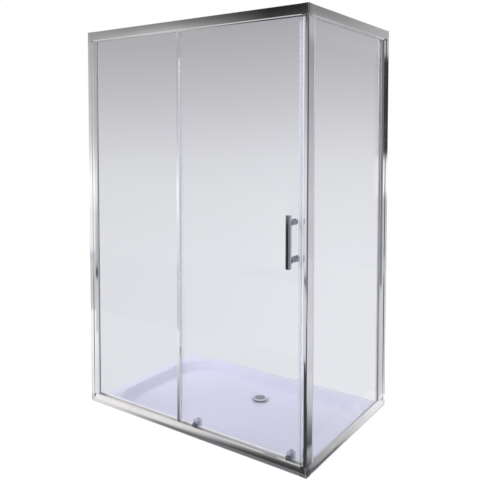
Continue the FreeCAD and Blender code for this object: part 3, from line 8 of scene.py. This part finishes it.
import bpy
import numpy as np
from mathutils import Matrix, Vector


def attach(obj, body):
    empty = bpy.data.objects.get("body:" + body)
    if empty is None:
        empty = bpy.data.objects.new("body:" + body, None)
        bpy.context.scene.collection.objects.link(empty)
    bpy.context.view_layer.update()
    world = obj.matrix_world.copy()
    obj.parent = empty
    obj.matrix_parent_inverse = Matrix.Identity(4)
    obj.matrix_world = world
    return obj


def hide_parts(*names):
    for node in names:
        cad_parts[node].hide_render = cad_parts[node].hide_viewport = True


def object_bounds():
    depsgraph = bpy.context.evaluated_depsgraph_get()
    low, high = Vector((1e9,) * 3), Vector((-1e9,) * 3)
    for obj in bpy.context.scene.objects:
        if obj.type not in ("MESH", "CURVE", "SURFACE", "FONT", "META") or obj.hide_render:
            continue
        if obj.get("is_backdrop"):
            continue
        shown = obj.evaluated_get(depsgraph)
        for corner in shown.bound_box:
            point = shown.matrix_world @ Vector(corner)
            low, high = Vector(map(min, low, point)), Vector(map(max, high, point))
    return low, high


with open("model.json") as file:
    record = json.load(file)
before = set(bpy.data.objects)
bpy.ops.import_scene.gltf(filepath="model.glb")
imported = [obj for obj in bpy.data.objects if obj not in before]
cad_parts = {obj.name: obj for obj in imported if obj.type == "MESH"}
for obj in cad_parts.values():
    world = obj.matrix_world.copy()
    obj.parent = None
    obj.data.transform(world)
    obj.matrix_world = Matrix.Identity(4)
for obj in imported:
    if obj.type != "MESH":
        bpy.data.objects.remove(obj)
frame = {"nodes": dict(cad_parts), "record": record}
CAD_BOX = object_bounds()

NODES = frame["nodes"]

# places on the enclosure
TRAY_LENGTH, TRAY_WIDTH = 1.200, 0.800
RIM = 0.100
FRONT_FACE = -0.3985
SIDE_FACE = 0.5985
ROLLERS_X = {"left": 0.036, "right": 0.507}
ROLLERS_Z = RIM + 0.040
KNOB_SEAT_Y = -0.373
WASTE_CENTRE = (0.0, 0.210, 0.0)
COVER_EDGE = 0.0434

# drawn metal
DRAWN_LINES = 900.0
DRAWN_SWELLS = 4.0
DRAWN_DEPTH = 0.000001
DULLER = 0.93
MATT_EDGE = 0.0005
POLISHED_RAIL = 0.0075
POLISHED_PROFILE = 0.009

# small turned pieces
SIDES = 64
SHARP_ANGLE = math.radians(38)

# stage
FLOOR_REACH = 3.2
FLOOR_GAP = 0.0005
FLOOR_DROP = 0.001
CARD_LEVEL = RIM + 0.0004


# ---------------------------------------------------------------- shader building
class Field:
    """A value, colour or vector that varies over a surface: one output socket of a tree."""

    def __init__(self, tree, socket):
        self.tree, self.socket = tree, socket

    def math(self, operation, first, second):
        settings = {"operation": operation}
        return self.tree.node("ShaderNodeMath", settings, {0: first, 1: second})

    def __add__(self, other):
        return self.math("ADD", self, other)

    def __sub__(self, other):
        return self.math("SUBTRACT", self, other)

    def __mul__(self, other):
        return self.math("MULTIPLY", self, other)

    def __truediv__(self, other):
        return self.math("DIVIDE", self, other)

    def __radd__(self, other):
        return self.math("ADD", other, self)

    def __rsub__(self, other):
        return self.math("SUBTRACT", other, self)

    def __rmul__(self, other):
        return self.math("MULTIPLY", other, self)

    def step(self, start, end):
        """0 before start, 1 after end, smooth between."""
        settings = {"interpolation_type": "SMOOTHSTEP"}
        return self.tree.node("ShaderNodeMapRange", settings, {0: self, 1: start, 2: end})

    def band(self, start, end, soft):
        """1 between start and end, fading to 0 over soft outside them."""
        return self.step(start - soft, start) * (1 - self.step(end, end + soft))

    def along(self, stops):
        """A ramp through (place, value or colour) stops; places may lie outside 0 to 1."""
        low, high = stops[0][0], stops[-1][0]
        spread = (self - low) / (high - low)
        points = []
        for place, value in stops:
            colour = value if isinstance(value, tuple) else (value,) * 3
            points.append(((place - low) / (high - low), colour + (1,)))
        return self.tree.node("ShaderNodeValToRGB", {"stops": points}, {0: spread})


class Tree:
    """A node tree in which every node is made by one method."""

    def __init__(self, owner):
        owner.use_nodes = True
        self.nodes, self.links = owner.node_tree.nodes, owner.node_tree.links
        self.nodes.clear()

    def node(self, kind, settings=None, inputs=None, output=0):
        """Make a node, set its settings and inputs, and give one of its outputs."""
        made = self.nodes.new(kind)
        for name, value in (settings or {}).items():
            if name == "stops":
                ramp = made.color_ramp
                while len(ramp.elements) < len(value):
                    ramp.elements.new(0.5)
                for element, (place, colour) in zip(ramp.elements, value):
                    element.position, element.color = place, colour
            else:
                setattr(made, name, value)
        for name, value in (inputs or {}).items():
            if isinstance(value, Field):
                self.links.new(value.socket, made.inputs[name])
            else:
                made.inputs[name].default_value = value
        return Field(self, made.outputs[output])

    def place(self):
        """x, y and z of the surface point, in metres."""
        at = self.node("ShaderNodeTexCoord", output="Object")
        return [self.node("ShaderNodeSeparateXYZ", None, {0: at}, axis) for axis in range(3)]

    def noise(self, swells, detail=3.0):
        """Noise with so many swells a metre: one count, or one for each of x, y and z."""
        scale = swells if isinstance(swells, tuple) else (swells,) * 3
        at = self.node("ShaderNodeTexCoord", output="Object")
        placed = self.node("ShaderNodeMapping", None, {"Vector": at, "Scale": scale})
        return self.node("ShaderNodeTexNoise", None, {
            "Vector": placed, "Scale": 1.0, "Detail": detail, "Roughness": 0.55})

    def colour_mix(self, share, first, second):
        settings = {"data_type": "RGBA"}
        return self.node("ShaderNodeMix", settings, {0: share, 6: first, 7: second}, 2)

    def bump(self, height, depth):
        return self.node("ShaderNodeBump", None, {
            "Height": height, "Distance": depth, "Strength": 1.0})

    def rays(self, kind):
        return self.node("ShaderNodeLightPath", output=f"Is {kind} Ray")

    def close(self, shader, kind="ShaderNodeOutputMaterial"):
        self.links.new(shader.socket, self.nodes.new(kind).inputs["Surface"])


def grey(value):
    return (value, value, value, 1)


def finish(name, **sockets):
    """A material with one Principled shader; keywords are its sockets, _ for a space."""
    material = bpy.data.materials.new(name)
    tree = Tree(material)
    made = {key.replace("_", " "): value(tree) if callable(value) else value
            for key, value in sockets.items()}
    tree.close(tree.node("ShaderNodeBsdfPrincipled", None, made))
    return material


def clouded(swells, first, second, detail=3.0):
    """A colour that drifts between two."""
    return lambda tree: tree.colour_mix(tree.noise(swells, detail), first, second)


def uneven(least, swing, swells, detail=3.0):
    """A roughness between least and least + swing."""
    return lambda tree: least + swing * tree.noise(swells, detail)


def grained(swells, depth):
    """A fine relief."""
    return lambda tree: tree.bump(tree.noise(swells, 2.0), depth)


def drawn_metal(name, colour, roughness, run, matt_axis=None, matt_from=None):
    """Extruded metal: fine lines along one axis, with faint cloudy wear.

    Behind y = matt_from, or inwards of x = matt_from, the section is left as extruded,
    duller than its polished face.
    """
    stretch = tuple(DRAWN_SWELLS if axis == run else DRAWN_LINES for axis in "XYZ")

    def matt(tree):
        place = tree.place()["XYZ".index(matt_axis)]
        beyond = place.step(matt_from - MATT_EDGE, matt_from + MATT_EDGE)
        return 1 - beyond if matt_axis == "X" else beyond

    def rough(tree):
        cloud, fine = tree.noise(7.0, 4.0), tree.noise(stretch, 2.0)
        polished = roughness * (0.8 + 0.25 * cloud) + 0.05 * fine * roughness
        return polished + 0.45 * matt(tree) if matt_axis else polished

    def tone(tree):
        dull = tuple(part * DULLER for part in colour[:3]) + (1,)
        return tree.colour_mix(tree.noise(5.0).step(0.35, 0.7), colour, dull)

    def metallic(tree):
        return 1 - 0.85 * matt(tree)

    return finish(name, Base_Color=tone, Roughness=rough,
                  Normal=grained(stretch, DRAWN_DEPTH),
                  Metallic=metallic if matt_axis else 1.0)


# ---------------------------------------------------------------- finishes
ALUMINIUM = (0.86, 0.86, 0.89, 1)
rail_x = drawn_metal("polished_rail_front", (0.86, 0.84, 0.85, 1), 0.05, "X",
                     "Y", FRONT_FACE + POLISHED_RAIL)
rail_y = drawn_metal("polished_rail_return", (0.84, 0.84, 0.86, 1), 0.06, "Y")
upright = drawn_metal("polished_upright", ALUMINIUM, 0.08, "Z")
left_profile = drawn_metal("polished_left_profile", ALUMINIUM, 0.08, "Z",
                           "Y", FRONT_FACE + POLISHED_PROFILE)
rear_profile = drawn_metal("polished_rear_profile", ALUMINIUM, 0.08, "Z",
                           "X", SIDE_FACE - POLISHED_PROFILE)
satin_post = drawn_metal("satin_post", (0.88, 0.88, 0.94, 1), 0.08, "Z")

glass = finish(
    "clear_glass",
    Base_Color=clouded(2.0, (0.980, 0.986, 0.993, 1), (0.990, 0.994, 0.998, 1), 2.0),
    Roughness=0.0, IOR=1.45, Transmission_Weight=1.0)

acrylic = finish(
    "tray_acrylic",
    Base_Color=clouded(3.0, (0.61, 0.61, 0.77, 1), (0.65, 0.65, 0.80, 1)),
    Roughness=uneven(0.30, 0.08, 12.0),
    Coat_Weight=0.2, Coat_Roughness=0.12, Normal=grained(60.0, 0.00003))

gasket = finish(
    "gasket_vinyl",
    Base_Color=clouded(9.0, (0.46, 0.47, 0.50, 1), (0.54, 0.55, 0.58, 1)),
    Roughness=uneven(0.38, 0.15, 60.0), Normal=grained(500.0, 0.00005))

clear_vinyl = finish(
    "clear_vinyl",
    Base_Color=clouded(9.0, (0.76, 0.80, 0.90, 1), (0.82, 0.86, 0.94, 1)),
    Roughness=uneven(0.18, 0.08, 40.0, 2.0), Alpha=0.2)

magnet = finish(
    "pale_magnet_strip",
    Base_Color=clouded(40.0, (0.60, 0.61, 0.68, 1), (0.68, 0.69, 0.76, 1)),
    Roughness=uneven(0.45, 0.15, 90.0))

chrome = finish(
    "chrome_plate",
    Base_Color=clouded(18.0, (0.76, 0.77, 0.79, 1), (0.82, 0.83, 0.85, 1)),
    Metallic=1.0, Roughness=uneven(0.03, 0.03, 35.0, 4.0))

cap_chrome = finish(
    "corner_cap_chrome",
    Base_Color=clouded(25.0, (0.62, 0.61, 0.61, 1), (0.70, 0.69, 0.69, 1)),
    Metallic=1.0, Roughness=uneven(0.07, 0.05, 45.0, 4.0))

dark_chrome = finish(
    "dark_chrome",
    Base_Color=clouded(30.0, (0.36, 0.37, 0.43, 1), (0.46, 0.47, 0.53, 1)),
    Metallic=1.0, Roughness=uneven(0.04, 0.03, 60.0, 4.0))

bright_cover = clouded(20.0, (0.90, 0.90, 0.93, 1), (0.96, 0.96, 0.99, 1))
cover_chrome = finish(
    "waste_cover_chrome",
    # Base colour near black below COVER_EDGE: painted shade on the cover's side edge, with
    # plain bright chrome above it.
    Base_Color=lambda tree: tree.colour_mix(
        tree.place()[2].step(COVER_EDGE, COVER_EDGE + 0.001), (0.12, 0.12, 0.15, 1),
        bright_cover(tree)),
    Metallic=1.0, Roughness=uneven(0.06, 0.05, 35.0, 4.0))

cover_inlay = finish(
    "waste_cover_centre",
    Base_Color=lambda tree: tree.colour_mix(
        tree.noise(160.0).step(0.38, 0.62), (0.34, 0.34, 0.38, 1), (0.62, 0.62, 0.67, 1)),
    Metallic=1.0, Roughness=uneven(0.16, 0.10, 200.0))

steel = finish(
    "plain_steel",
    Base_Color=clouded(80.0, (0.55, 0.55, 0.56, 1), (0.66, 0.66, 0.67, 1)),
    Metallic=1.0, Roughness=uneven(0.22, 0.12, 150.0))

nylon = finish(
    "wheel_nylon",
    Base_Color=clouded(120.0, (0.82, 0.82, 0.80, 1), (0.88, 0.88, 0.86, 1)),
    Roughness=uneven(0.35, 0.15, 200.0), Subsurface_Weight=0.05)

roller_plastic = finish(
    "roller_housing",
    Base_Color=clouded(60.0, (0.42, 0.43, 0.54, 1), (0.48, 0.49, 0.60, 1)),
    Roughness=uneven(0.34, 0.12, 140.0), Alpha=0.35, Normal=grained(900.0, 0.00003))

rubber = finish(
    "black_rubber",
    Base_Color=clouded(90.0, (0.030, 0.030, 0.033, 1), (0.05, 0.05, 0.055, 1)),
    Roughness=uneven(0.6, 0.2, 200.0))

black_plastic = finish(
    "black_nut",
    Base_Color=clouded(90.0, (0.030, 0.030, 0.033, 1), (0.055, 0.055, 0.06, 1)),
    Roughness=uneven(0.4, 0.2, 200.0))

BY_SLOT = {
    "acrylic": acrylic, "bright_aluminium": upright, "cap_chrome": cap_chrome,
    "pane_glass": glass, "grey_gasket": gasket, "clear_seal": clear_vinyl,
    "magnet_vinyl": magnet, "chrome": chrome, "steel": steel, "nylon": nylon,
    "roller_plastic": roller_plastic, "black_rubber": rubber,
    "black_plastic": black_plastic}
BY_NODE = {
    "front_top_rail": rail_x, "front_bottom_rail": rail_x,
    "return_top_rail": rail_y, "return_bottom_rail": rail_y, "corner_post": satin_post,
    "left_adjusting_profile": left_profile, "rear_adjusting_profile": rear_profile,
    "handle_posts": dark_chrome, "handle_inner_knob": dark_chrome,
    "handle_inner_cap": dark_chrome, "waste_cover": cover_chrome}

for part in frame["record"]["subparts"]:
    wanted = BY_NODE.get(part["node"], BY_SLOT[part["material_slot"]])
    for slot in NODES[part["node"]].material_slots:
        slot.material = wanted
for pane in ("fixed_glass", "return_glass", "door_glass"):
    NODES[pane].visible_shadow = False


# ---------------------------------------------------------------- small pieces
def add_object(name, data):
    made = bpy.data.objects.new(name, data)
    bpy.context.scene.collection.objects.link(made)
    return made


def add_mesh(name, points, faces):
    mesh = bpy.data.meshes.new(name)
    mesh.from_pydata(points, [], faces)
    return add_object(name, mesh)


def lathe(name, profile, centre, material, axis="Y"):
    """A piece turned about the y or z direction.

    Point j of ring k lies at centre + (r_k cos t_j, a_k, r_k sin t_j) about y, and at
    centre + (r_k cos t_j, -r_k sin t_j, a_k) about z, where r_k and a_k are the profile's
    radius and reach in metres and t_j = 2 pi j / SIDES. Both ends are closed.
    """
    radius, reach = np.array(profile, float).T
    turn = np.linspace(0.0, 2.0 * math.pi, SIDES, endpoint=False)
    side, high = np.outer(radius, np.cos(turn)), np.outer(radius, np.sin(turn))
    along = np.repeat(reach[:, None], SIDES, axis=1)
    rings = np.stack([side, along, high] if axis == "Y" else [side, -high, along], axis=-1)
    rings = rings + np.array(centre, float)
    ring, step = np.meshgrid(np.arange(len(radius) - 1), np.arange(SIDES), indexing="ij")
    after = (step + 1) % SIDES
    quads = np.stack([ring * SIDES + step, (ring + 1) * SIDES + step,
                      (ring + 1) * SIDES + after, ring * SIDES + after], axis=-1)
    last = (len(radius) - 1) * SIDES
    ends = [tuple(range(SIDES)), tuple(reversed(range(last, last + SIDES)))]
    made = add_mesh(name, rings.reshape(-1, 3).tolist(), quads.reshape(-1, 4).tolist() + ends)
    mesh = made.data
    mesh.polygons.foreach_set("use_smooth", np.ones(len(mesh.polygons), bool))
    mesh.set_sharp_from_angle(angle=SHARP_ANGLE)
    mesh.materials.append(material)
    return made


# radius and reach from the seat, from the middle of the face out and back to the stem
KNOB = [(0.0004, -0.00560), (0.0022, -0.00552), (0.0040, -0.00520), (0.0052, -0.00460),
        (0.0058, -0.00380), (0.0062, -0.00300), (0.0086, -0.00290), (0.0090, -0.00350),
        (0.0094, -0.00520), (0.0100, -0.00590), (0.0110, -0.00600), (0.0120, -0.00570),
        (0.0127, -0.00490), (0.0130, -0.00380), (0.0130, -0.00120), (0.0127, -0.00040),
        (0.0122, 0.0), (0.0040, 0.0), (0.0040, 0.0166), (0.0036, 0.0170), (0.0004, 0.0170)]
for label, roller_x in ROLLERS_X.items():
    knob = lathe(f"roller_knob_{label}", KNOB, (roller_x, KNOB_SEAT_Y, ROLLERS_Z), dark_chrome)
    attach(knob, "door")
    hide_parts("bottom_roller_knobs")

# radius and height, from the middle of the underside out and back over the top
CENTRE_DISC = [(0.0004, 0.0478), (0.0262, 0.0476), (0.0268, 0.0478), (0.0270, 0.0482),
               (0.0267, 0.0486), (0.0220, 0.0493), (0.0160, 0.0499), (0.0080, 0.0503),
               (0.0004, 0.0504)]
centre_disc = lathe("waste_cover_disc", CENTRE_DISC, WASTE_CENTRE, cover_inlay, "Z")
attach(centre_disc, "cover")


# ---------------------------------------------------------------- stage
def floor_with_recess():
    """Floor a little below the rim, cut out round the tray, which so lies flush in it.

    Rays through glass don't meet it: its far edge would show as a line in the panes.
    """
    reach = FLOOR_REACH
    x, y = TRAY_LENGTH / 2 + FLOOR_GAP, TRAY_WIDTH / 2 + FLOOR_GAP
    outer = [(-reach, -reach), (reach, -reach), (reach, reach), (-reach, reach)]
    inner = [(-x, -y), (x, -y), (x, y), (-x, y)]
    points = [(px, py, RIM - FLOOR_DROP) for px, py in outer + inner]
    faces = [(n, (n + 1) % 4, 4 + (n + 1) % 4, 4 + n) for n in range(4)]
    made = add_mesh("floor", points, faces)
    material = bpy.data.materials.new("pale_floor")
    tree = Tree(material)
    camera, glossy = (tree.rays(kind) for kind in ("Camera", "Glossy"))
    plain = tree.node("ShaderNodeBsdfDiffuse", None, {"Color": grey(0.80)})
    thin = tree.node("ShaderNodeBsdfDiffuse", None, {"Color": grey(0.30)})
    glow = tree.node("ShaderNodeEmission", None, {"Color": grey(0.78)})
    seen = tree.node("ShaderNodeAddShader", None, {0: glow, 1: thin})
    mirrored = tree.node("ShaderNodeEmission", None, {"Color": grey(0.70)})
    mixed = tree.node("ShaderNodeMixShader", None, {0: camera, 1: plain, 2: seen})
    tree.close(tree.node("ShaderNodeMixShader", None, {0: glossy, 1: mixed, 2: mirrored}))
    made.data.materials.append(material)
    made.visible_transmission = False
    made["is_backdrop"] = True


def reflection_board(name, corner, across, up, tone):
    """A glowing board that only polished surfaces see; tone(u, v) is its brightness.

    u runs from 0 to 1 along across, v from 0 to 1 along up.
    """
    corner, across, up = (np.array(part, float) for part in (corner, across, up))
    corners = (corner, corner + across, corner + across + up, corner + up)
    board = add_mesh(name, [tuple(point) for point in corners], [(0, 1, 2, 3)])
    layer = board.data.uv_layers.new(name="board")
    layer.data.foreach_set("uv", np.array([0, 0, 1, 0, 1, 1, 0, 1], float))
    material = bpy.data.materials.new(name)
    tree = Tree(material)
    uv = tree.node("ShaderNodeTexCoord", output="UV")
    u, v = (tree.node("ShaderNodeSeparateXYZ", None, {0: uv}, axis) for axis in range(2))
    tree.close(tree.node("ShaderNodeEmission", None, {"Color": tone(u, v)}))
    board.data.materials.append(material)
    for kind in ("camera", "diffuse", "transmission", "shadow", "volume_scatter"):
        setattr(board, f"visible_{kind}", False)
    board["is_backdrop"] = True


def front_tone(u, v):
    """What faces the front.

    Above, grey to black from left to right. Below, pale with a bright band, a dark upright
    strip that the handle mirrors, a dark foot, and a strip of its own for the corner post.
    """
    above = u.along(((0.0, 0.55), (0.32, 0.36), (0.45, 0.26), (0.55, 0.085),
                     (0.60, 0.022), (1.0, 0.02)))
    lift = u.along(((0.0, 0.2), (0.30, 0.3), (0.36, 0.65), (0.47, 1.9), (0.60, 2.3),
                    (1.0, 2.3)))
    above = above * (1 + lift * (1 - v.step(0.568, 0.605)))
    below = u.along(((0.0, 1.05), (0.42, 0.98), (0.55, 0.82), (0.80, 0.80), (0.82, 0.03),
                     (1.0, 0.02)))
    wall = v.along(((0.0, 0.95), (0.10, 1.0), (0.19, 1.25), (0.25, 0.98), (0.30, 0.76),
                    (0.405, 0.64), (0.52, 0.52), (1.0, 0.5)))
    post_strip = v.along(((0.0, 1.0), (0.22, 1.0), (0.29, 0.95), (0.394, 0.70),
                          (0.485, 0.45), (0.548, 0.34), (1.0, 0.1)))
    right = u.step(0.643, 0.648)
    handle_strip = u.band(0.625, 0.637, 0.006) * (1 - v.step(0.12, 0.24))
    foot = u.band(0.60, 0.75, 0.08) * (1 - v.step(0.01, 0.035))
    high = v.step(0.555, 0.575)
    below = below * (wall * (1 - right) + post_strip * right)
    return above * high + below * (1 - high) * (1 - handle_strip * 0.97) * (1 - foot * 0.95)


def side_tone(u, v):
    """What faces the return side: a grey wall, almost black towards the front.

    At the rear it has a dark stretch with a bright one below it, and it is paler above.
    """
    wall = v.along(((0.0, 0.62), (0.15, 0.62), (0.4, 0.46), (0.62, 0.33), (1.0, 0.40)))
    rear = u.step(0.79, 0.81)
    dark = rear * v.band(0.27, 0.57, 0.03) * 0.97
    bright = rear * v.band(0.14, 0.22, 0.04) * 0.9
    high = v.step(0.56, 0.60)
    lift = u.along(((0.0, 0.8), (0.60, 0.80), (0.65, 0.87), (0.712, 1.08), (0.78, 1.36),
                    (0.85, 1.42), (1.0, 1.42)))
    lip = u.along(((0.0, 0.9), (0.60, 0.9), (0.65, 0.75), (0.712, 0.4), (0.78, 0.1),
                   (1.0, 0.0)))
    upper = lift * (1 + lip * (1 - v.step(0.622, 0.662)))
    near = 0.03 + 0.97 * u.step(0.40, 0.42)
    return wall * near * (1 - dark + bright) * (1 - high + high * upper)


def side_floor_tone(u, v):
    """Painted reflection of the floor beside the return rail, seen only in polished surfaces:
    one ramp close to it, another farther out.
    """
    close = v.along(((0.0, 0.06), (0.14, 0.10), (0.22, 0.36), (0.41, 0.56), (0.6, 0.68),
                     (0.8, 0.90), (1.0, 1.0)))
    apart = v.along(((0.0, 0.06), (0.3, 0.10), (0.45, 0.25), (0.6, 0.52), (0.75, 0.62),
                     (1.0, 0.75)))
    far = u.step(0.12, 0.17)
    return close * (1 - far) + apart * far


floor_with_recess()
reflection_board("front_board", (-6.0, -3.0, 0.1), (8.0, 0, 0), (0, 0, 4.0), front_tone)
reflection_board("side_board", (2.6, -2.0, 0.1), (0, 9.0, 0), (0, 0, 4.0), side_tone)

# glowing cards on the floor, in front of the rails and beside them, seen only in polished
# surfaces: painted reflections in the lower faces of the rails
reflection_board(
    "front_floor_strip", (-0.60, -0.4500, CARD_LEVEL), (1.20, 0, 0), (0, 0.0505, 0),
    lambda u, v: u.along(((0.0, 0.85), (0.125, 0.78), (0.225, 0.60), (0.375, 0.26),
                          (0.5, 0.19), (0.8, 0.20), (1.0, 0.20))))
reflection_board(
    "front_floor_card", (-1.8, -1.45, CARD_LEVEL), (2.4, 0, 0), (0, 0.998, 0),
    lambda u, v: u.along(((0.0, 1.05), (0.25, 1.02), (0.46, 0.90), (0.545, 0.78),
                          (0.604, 0.52), (0.646, 0.36), (0.687, 0.22), (0.742, 0.10),
                          (0.80, 0.06), (1.0, 0.05))))
reflection_board(
    "side_floor_strip", (0.5995, -0.40, CARD_LEVEL), (0.012, 0, 0), (0, 0.80, 0),
    lambda u, v: v.along(((0.0, 0.12), (0.25, 0.17), (0.35, 0.22), (0.5, 0.60),
                          (0.66, 0.85), (1.0, 0.95))))
reflection_board(
    "side_floor_card", (0.612, -0.45, CARD_LEVEL), (0.6, 0, 0), (0, 0.95, 0),
    side_floor_tone)
reflection_board(
    "corner_floor_card", (0.602, -2.20, CARD_LEVEL), (2.0, 0, 0), (0, 1.748, 0),
    lambda u, v: u.along(((0.0, 0.05), (1.0, 0.02))))


def area_lamp(name, place, aim, size, power):
    """A square lamp that lights surfaces but isn't seen or mirrored."""
    data = bpy.data.lights.new(name, "AREA")
    data.shape, data.size, data.energy = "SQUARE", size, power
    lamp = add_object(name, data)
    away = np.array(aim, float) - np.array(place, float)
    flat = math.hypot(away[0], away[1])
    lamp.location = place
    lamp.rotation_euler = (math.pi / 2 + math.atan2(away[2], flat), 0,
                           math.atan2(-away[0], away[1]))
    for kind in ("camera", "glossy", "transmission"):
        setattr(lamp, f"visible_{kind}", False)


area_lamp("key_lamp", (-2.6, -3.2, 3.4), (0, 0, 0.8), 2.4, 120)
area_lamp("fill_lamp", (3.4, -1.6, 2.4), (0.2, 0, 0.8), 2.0, 50)
area_lamp("top_lamp", (0.2, 0.3, 4.2), (0, 0, 0), 2.6, 70)

# ---------------------------------------------------------------- world
# colour by the rise of the ray: through the panes, and in polished surfaces
SEEN_THROUGH = (
    (-1.0, (0.79, 0.80, 0.84)), (-0.31, (0.805, 0.817, 0.855)),
    (-0.19, (0.800, 0.812, 0.850)), (-0.109, (0.770, 0.777, 0.812)),
    (-0.044, (0.735, 0.737, 0.772)), (0.005, (0.665, 0.663, 0.700)),
    (0.054, (0.585, 0.580, 0.615)), (0.094, (0.532, 0.526, 0.558)),
    (0.132, (0.480, 0.474, 0.504)), (0.180, (0.420, 0.415, 0.442)),
    (1.0, (0.40, 0.395, 0.42)))
MIRRORED = (
    (-1.0, (0.6, 0.6, 0.62)), (0.0, (0.62, 0.62, 0.65)), (0.6, (0.5, 0.5, 0.53)),
    (1.0, (0.5, 0.5, 0.53)))
DARKER_LEFT = ((-0.75, 0.10), (-0.57, 0.055), (-0.40, 0.0))

world = bpy.data.worlds.new("studio")
bpy.context.scene.world = world
sky = Tree(world)
direction = sky.node("ShaderNodeTexCoord", output="Generated")
rise = sky.node("ShaderNodeSeparateXYZ", None, {0: direction}, 2)
across = sky.node("ShaderNodeSeparateXYZ", None, {0: direction}, 0)
backdrop = sky.colour_mix(across.along(DARKER_LEFT), rise.along(SEEN_THROUGH), grey(0.0))
ambient = sky.colour_mix(sky.rays("Glossy"), grey(0.62), rise.along(MIRRORED))
ambient = sky.colour_mix(sky.rays("Transmission"), ambient, backdrop)
ambient = sky.colour_mix(sky.rays("Camera"), ambient, grey(1.0))
sky.close(sky.node("ShaderNodeBackground", None, {"Color": ambient}),
          "ShaderNodeOutputWorld")

# ---------------------------------------------------------------- camera
# matched to the photograph
camera_data = bpy.data.cameras.new("camera")
camera = add_object("camera", camera_data)
camera_data.sensor_width, camera_data.lens = 36.0, 45.963
camera_data.shift_x, camera_data.shift_y = 0.0171, -0.1663
camera.location = (1.68866, -2.42379, 1.41748)
camera.rotation_euler = (math.radians(90 - 2.541), 0, math.radians(35.378))
bpy.context.scene.camera = camera
bpy.context.scene.view_settings.view_transform = "Standard"


def plain(box):
    return [[float(part) for part in corner] for corner in box]


{"cad": plain(CAD_BOX), "visual": plain(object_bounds())}
